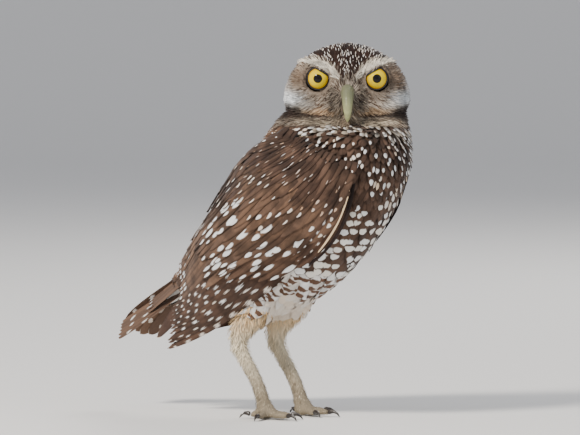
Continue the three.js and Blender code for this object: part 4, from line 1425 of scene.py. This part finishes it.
top, bottom = tail_feathers()
top, bottom = top[:, :, ::-1], bottom[:, :, ::-1]
n = TAIL_COUNT
ground = varied(blend(BROWN, WARM, rng.random(n) * 0.5), n, 0.12)
looks = looks_of(n, ground, blend(WHITE, BUFF, rng.random(n) * 0.5))
SPOT_SIDE = np.where(np.arange(n) % 2 == 0, 0.5, -0.5)
looks["spot"][:] = columns(n, rng.uniform(0.66, 0.74, n), 0.035, 0.34, SPOT_SIDE)
looks["edge"][:, 1] = rng.uniform(0.42, 0.5, n)
looks["edge"][:, 0] = 1.02
covert_top, covert_bottom = tail_coverts()
n = len(covert_top)
covert_looks = looks_of(n, varied(blend(BROWN, WARM, rng.random(n) * 0.6), n, 0.12), WHITE)
covert_looks["spot"][:] = columns(n, 0.84, np.where(rng.random(n) < 0.5, 0.07, 0), 0.4, 0)
under = n - n // 2
covert_looks["ground"][n // 2:, :3] = varied(blend(WHITE, BUFF, rng.random(under) * 0.4), under, 0.05)
covert_looks["spot"][n // 2:, 1] = 0
last_top, last_bottom = free_vane((-66, -16, 80), (-110, -9, 46), 6.0, (-0.25, -0.95, 0.1))
last_looks = looks_of(1, srgb(72, 52, 42), srgb(196, 176, 150))
last_looks["edge"][:] = [0.98, -1, 0.3, 0.2]
looks = {key: np.concatenate([looks[key], covert_looks[key], last_looks[key]]) for key in looks}
top = np.concatenate([top, body_to_row(covert_top), body_to_row(last_top)])
bottom = np.concatenate([bottom, body_to_row(covert_bottom), body_to_row(last_bottom)])
tail = vane_mesh("tail_feathers", top, bottom, looks)
tail.data.materials.append(feather)
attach(tail, "root")
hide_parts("tail")

# %% [markdown]
# The skin shows only between feathers. It could be one plain colour, but a gap in a white belly would then
# show brown.
# So it carries the same markings as the coat, darkened as painted shade in the gaps between the feathers, as
# a colour for each of its points.


# %% Skin material
def skin_colours(p):
    h, b = p - HEAD, row_to_body(p)
    t, angle, _ = torso_place(b)
    head, _, _ = face_colours(h, len(p), 0.0)
    front = smoothstep(108, 90, np.abs(np.degrees(angle)))
    # Painted shade: brown and white at 0.8 here, and the whole colour at 0.8 below, darken the skin in the
    # gaps between the feathers.
    body = blend(BROWN * 0.8, WHITE * 0.8, front * smoothstep(0.34, 0.4, t))
    colour = blend(body, head, head_share(p))
    leg = smoothstep(68, 58, b[:, 2])
    colour = blend(colour, blend(LEG, BRISTLE, smoothstep(48, 12, b[:, 2]) * 0.8), leg)
    return colour * 0.8


def skin_material():
    g = Graph("feathered_skin")
    fine = g.noise(g.object_place(), 900.0, 3.0)
    ground, _ = g.attribute("ground")
    g.bump(fine, 0.4, 0.0003)
    return g.finish(g.scale_colour(ground, g.line(fine, 0.6, 0.7)), 0.85, 0.2)


skin.data.materials.clear()
skin.data.materials.append(skin_material())
colours = np.concatenate([skin_colours(skin_points), np.ones((len(skin_points), 1))], 1)
skin_ground = skin.data.attributes.new("ground", "FLOAT_COLOR", "POINT")
skin_ground.data.foreach_set("color", colours.astype(np.float32).ravel())
layer = skin.data.uv_layers.get("OFBake") or skin.data.uv_layers.new(name="OFBake")
loop_vertex = np.zeros(len(skin.data.loops), np.int32)
skin.data.loops.foreach_get("vertex_index", loop_vertex)
layer.data.foreach_set("uv", unwrap(skin_points)[loop_vertex].astype(np.float32).ravel())
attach(skin, "root")
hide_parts(*FLESH)

# %% [markdown]
# The eyes are glossy balls with a slight bulge in front. The iris is a ring of bright yellow, a little
# deeper at its rim, round a black pupil, and a dark rim of bare skin closes it off. Separate discs would
# show their edges, so one material draws all three by the distance from the line of sight.

# %% Eyes
IRIS_RADIUS, PUPIL_RADIUS, CORNEA_BULGE = 6.4, 2.7, 0.7
LOOK_SPLAY = math.radians(3)


def eye_material(side):
    g = Graph("yellow_iris_" + side)
    mapping = g.tree.nodes.new("ShaderNodeMapping")
    mapping.vector_type = "POINT"
    middle = eye_middles[side] * MM
    mapping.inputs["Location"].default_value = tuple(-middle)
    g.tree.links.new(g.object_place(), mapping.inputs["Vector"])
    x, _, z = g.parts(mapping.outputs[0])
    sign = -1 if side == "right" else 1
    x = g.math("ADD", x, -sign * math.sin(LOOK_SPLAY) * EYE_RADIUS * MM)
    reach = g.times(g.length(x, z), 1000.0)
    angle = g.math("ARCTAN2", z, x)
    round_eye = g.vector(g.math("COSINE", angle), g.math("SINE", angle), g.times(reach, 0.08))
    yellow = g.mix(g.noise(round_eye, 9.0, 3.0), tuple(srgb(206, 172, 0)), tuple(srgb(226, 200, 0)))
    yellow = g.mix(g.step(reach, IRIS_RADIUS - 1.6, IRIS_RADIUS - 0.2), yellow, tuple(srgb(184, 138, 0)))
    rim = g.step(reach, IRIS_RADIUS - 0.35, IRIS_RADIUS + 0.1)
    pupil = g.step(reach, PUPIL_RADIUS + 0.14, PUPIL_RADIUS - 0.1)
    colour = g.mix(g.most(rim, pupil), yellow, (0.004, 0.003, 0.003))
    g.shader.inputs["Coat Weight"].default_value = 0.35
    g.shader.inputs["Coat Roughness"].default_value = 0.03
    return g.finish(colour, 0.5, 0.05)


def eyeball(side):
    deselect()
    middle = eye_middles[side]
    bpy.ops.mesh.primitive_uv_sphere_add(segments=64, ring_count=40, radius=EYE_RADIUS * MM,
                                         location=middle * MM, rotation=(math.pi / 2, 0, 0))
    ball = bpy.context.object
    ball.name = "eyeball_" + side
    keep_place_in_mesh(ball)
    select_none("VERT")
    front = (middle[1] - EYE_RADIUS * 0.995) * MM
    for vertex in ball.data.vertices:
        vertex.select = vertex.co.y < front
    bpy.ops.object.mode_set(mode="EDIT")
    bpy.ops.transform.translate(value=(0, -CORNEA_BULGE * MM, 0), use_proportional_edit=True,
                                proportional_size=IRIS_RADIUS * MM, proportional_edit_falloff="SMOOTH")
    end_edit()
    bpy.ops.object.shade_smooth()
    ball.data.materials.append(eye_material(side))
    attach(ball, "root")
    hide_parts("eye_" + side)


for side in ("right", "left"):
    eyeball(side)
print("eyes at", {k: v.round(1).tolist() for k, v in eye_middles.items()})

# %% [markdown]
# Lids: a dark bare rim lies round the opening, and the upper lid is a slice of a larger ball that cuts the
# iris along the slanted brow, which gives the owl its stern look.

# %% Lids
def plain_material(name, colour, roughness, bump_scale=1400.0):
    g = Graph(name)
    fine = g.noise(g.object_place(), bump_scale, 3.0)
    g.bump(fine, 0.35, 0.0002)
    return g.finish(g.scale_colour(tuple(colour), g.line(fine, 0.5, 0.75)), roughness, 0.4)


lid_skin = plain_material("dark_lid_skin", srgb(22, 17, 16), 0.6)


def lid(side):
    middle = eye_middles[side]
    deselect()
    bpy.ops.mesh.primitive_torus_add(major_radius=6.8 * MM, minor_radius=0.58 * MM, major_segments=64,
                                     minor_segments=14, location=(middle + [0, -4.9, 0]) * MM,
                                     rotation=(math.pi / 2, 0, 0))
    rim = bpy.context.object
    edit_all()
    bpy.ops.transform.resize(value=(1, 1.15, 1))
    end_edit()
    deselect()
    bpy.ops.mesh.primitive_uv_sphere_add(segments=56, ring_count=36, radius=(EYE_RADIUS + 0.6) * MM,
                                         location=middle * MM)
    hood = bpy.context.object
    up = lid_up(side)
    edit_all()
    bpy.ops.mesh.bisect(plane_co=(middle + up * LID_OFFSET) * MM, plane_no=up, clear_inner=True,
                        use_fill=False)
    bpy.ops.mesh.select_all(action="SELECT")
    bpy.ops.mesh.bisect(plane_co=(middle + [0, -1.0, 0]) * MM, plane_no=(0, 1, 0), clear_outer=True,
                        use_fill=False)
    end_edit()
    modify(hood, "SOLIDIFY", thickness=0.6 * MM, offset=-0.2)
    modify(hood, "BEVEL", width=0.2 * MM, segments=3)
    apply_all(hood)
    deselect()
    rim.select_set(True)
    hood.select_set(True)
    bpy.context.view_layer.objects.active = rim
    bpy.ops.object.join()
    rim.name = "eyelid_" + side
    keep_place_in_mesh(rim)
    bpy.ops.object.shade_smooth()
    rim.data.materials.append(lid_skin)
    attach(rim, "root")


for side in ("right", "left"):
    lid(side)

# %% [markdown]
# Horn is smooth and slightly clear, so a satin gloss over a faint grain is enough. Pale olive horn gets
# greyer at the root of the bill. The claws are dark and glossy, and are smoothed copies of their solids,
# as the bill is.


# %% Bill and claws
def horn_material(name, low_colour, high_colour, low_z, high_z, roughness):
    g = Graph(name)
    place = g.object_place()
    fine = g.noise(place, 700.0, 4.0)
    share = g.step(g.parts(place)[2], low_z * MM, high_z * MM)
    colour = g.mix(share, tuple(low_colour), tuple(high_colour))
    g.bump(fine, 0.15, 0.0002)
    return g.finish(g.scale_colour(colour, g.line(fine, 0.3, 0.85)), roughness, 0.5)


horn = horn_material("olive_horn", srgb(156, 158, 110), srgb(104, 106, 80), HEAD[2] - 10, HEAD[2] + 7, 0.36)
for node, piece in (("bill_upper", bill_hook), ("bill_lower", bill_under)):
    piece.data.materials.append(horn)
    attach(piece, "root")
    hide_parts(node)
claw_horn = horn_material("dark_claw_horn", srgb(28, 24, 22), srgb(52, 44, 38), 0, 6, 0.35)
for name in [n for n in nodes if n.startswith("claw_")]:
    piece = smooth_copy(name, name.replace("claw", "talon"), 0.28, 4)
    piece.data.materials.append(claw_horn)
    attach(piece, "root")
    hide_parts(name)
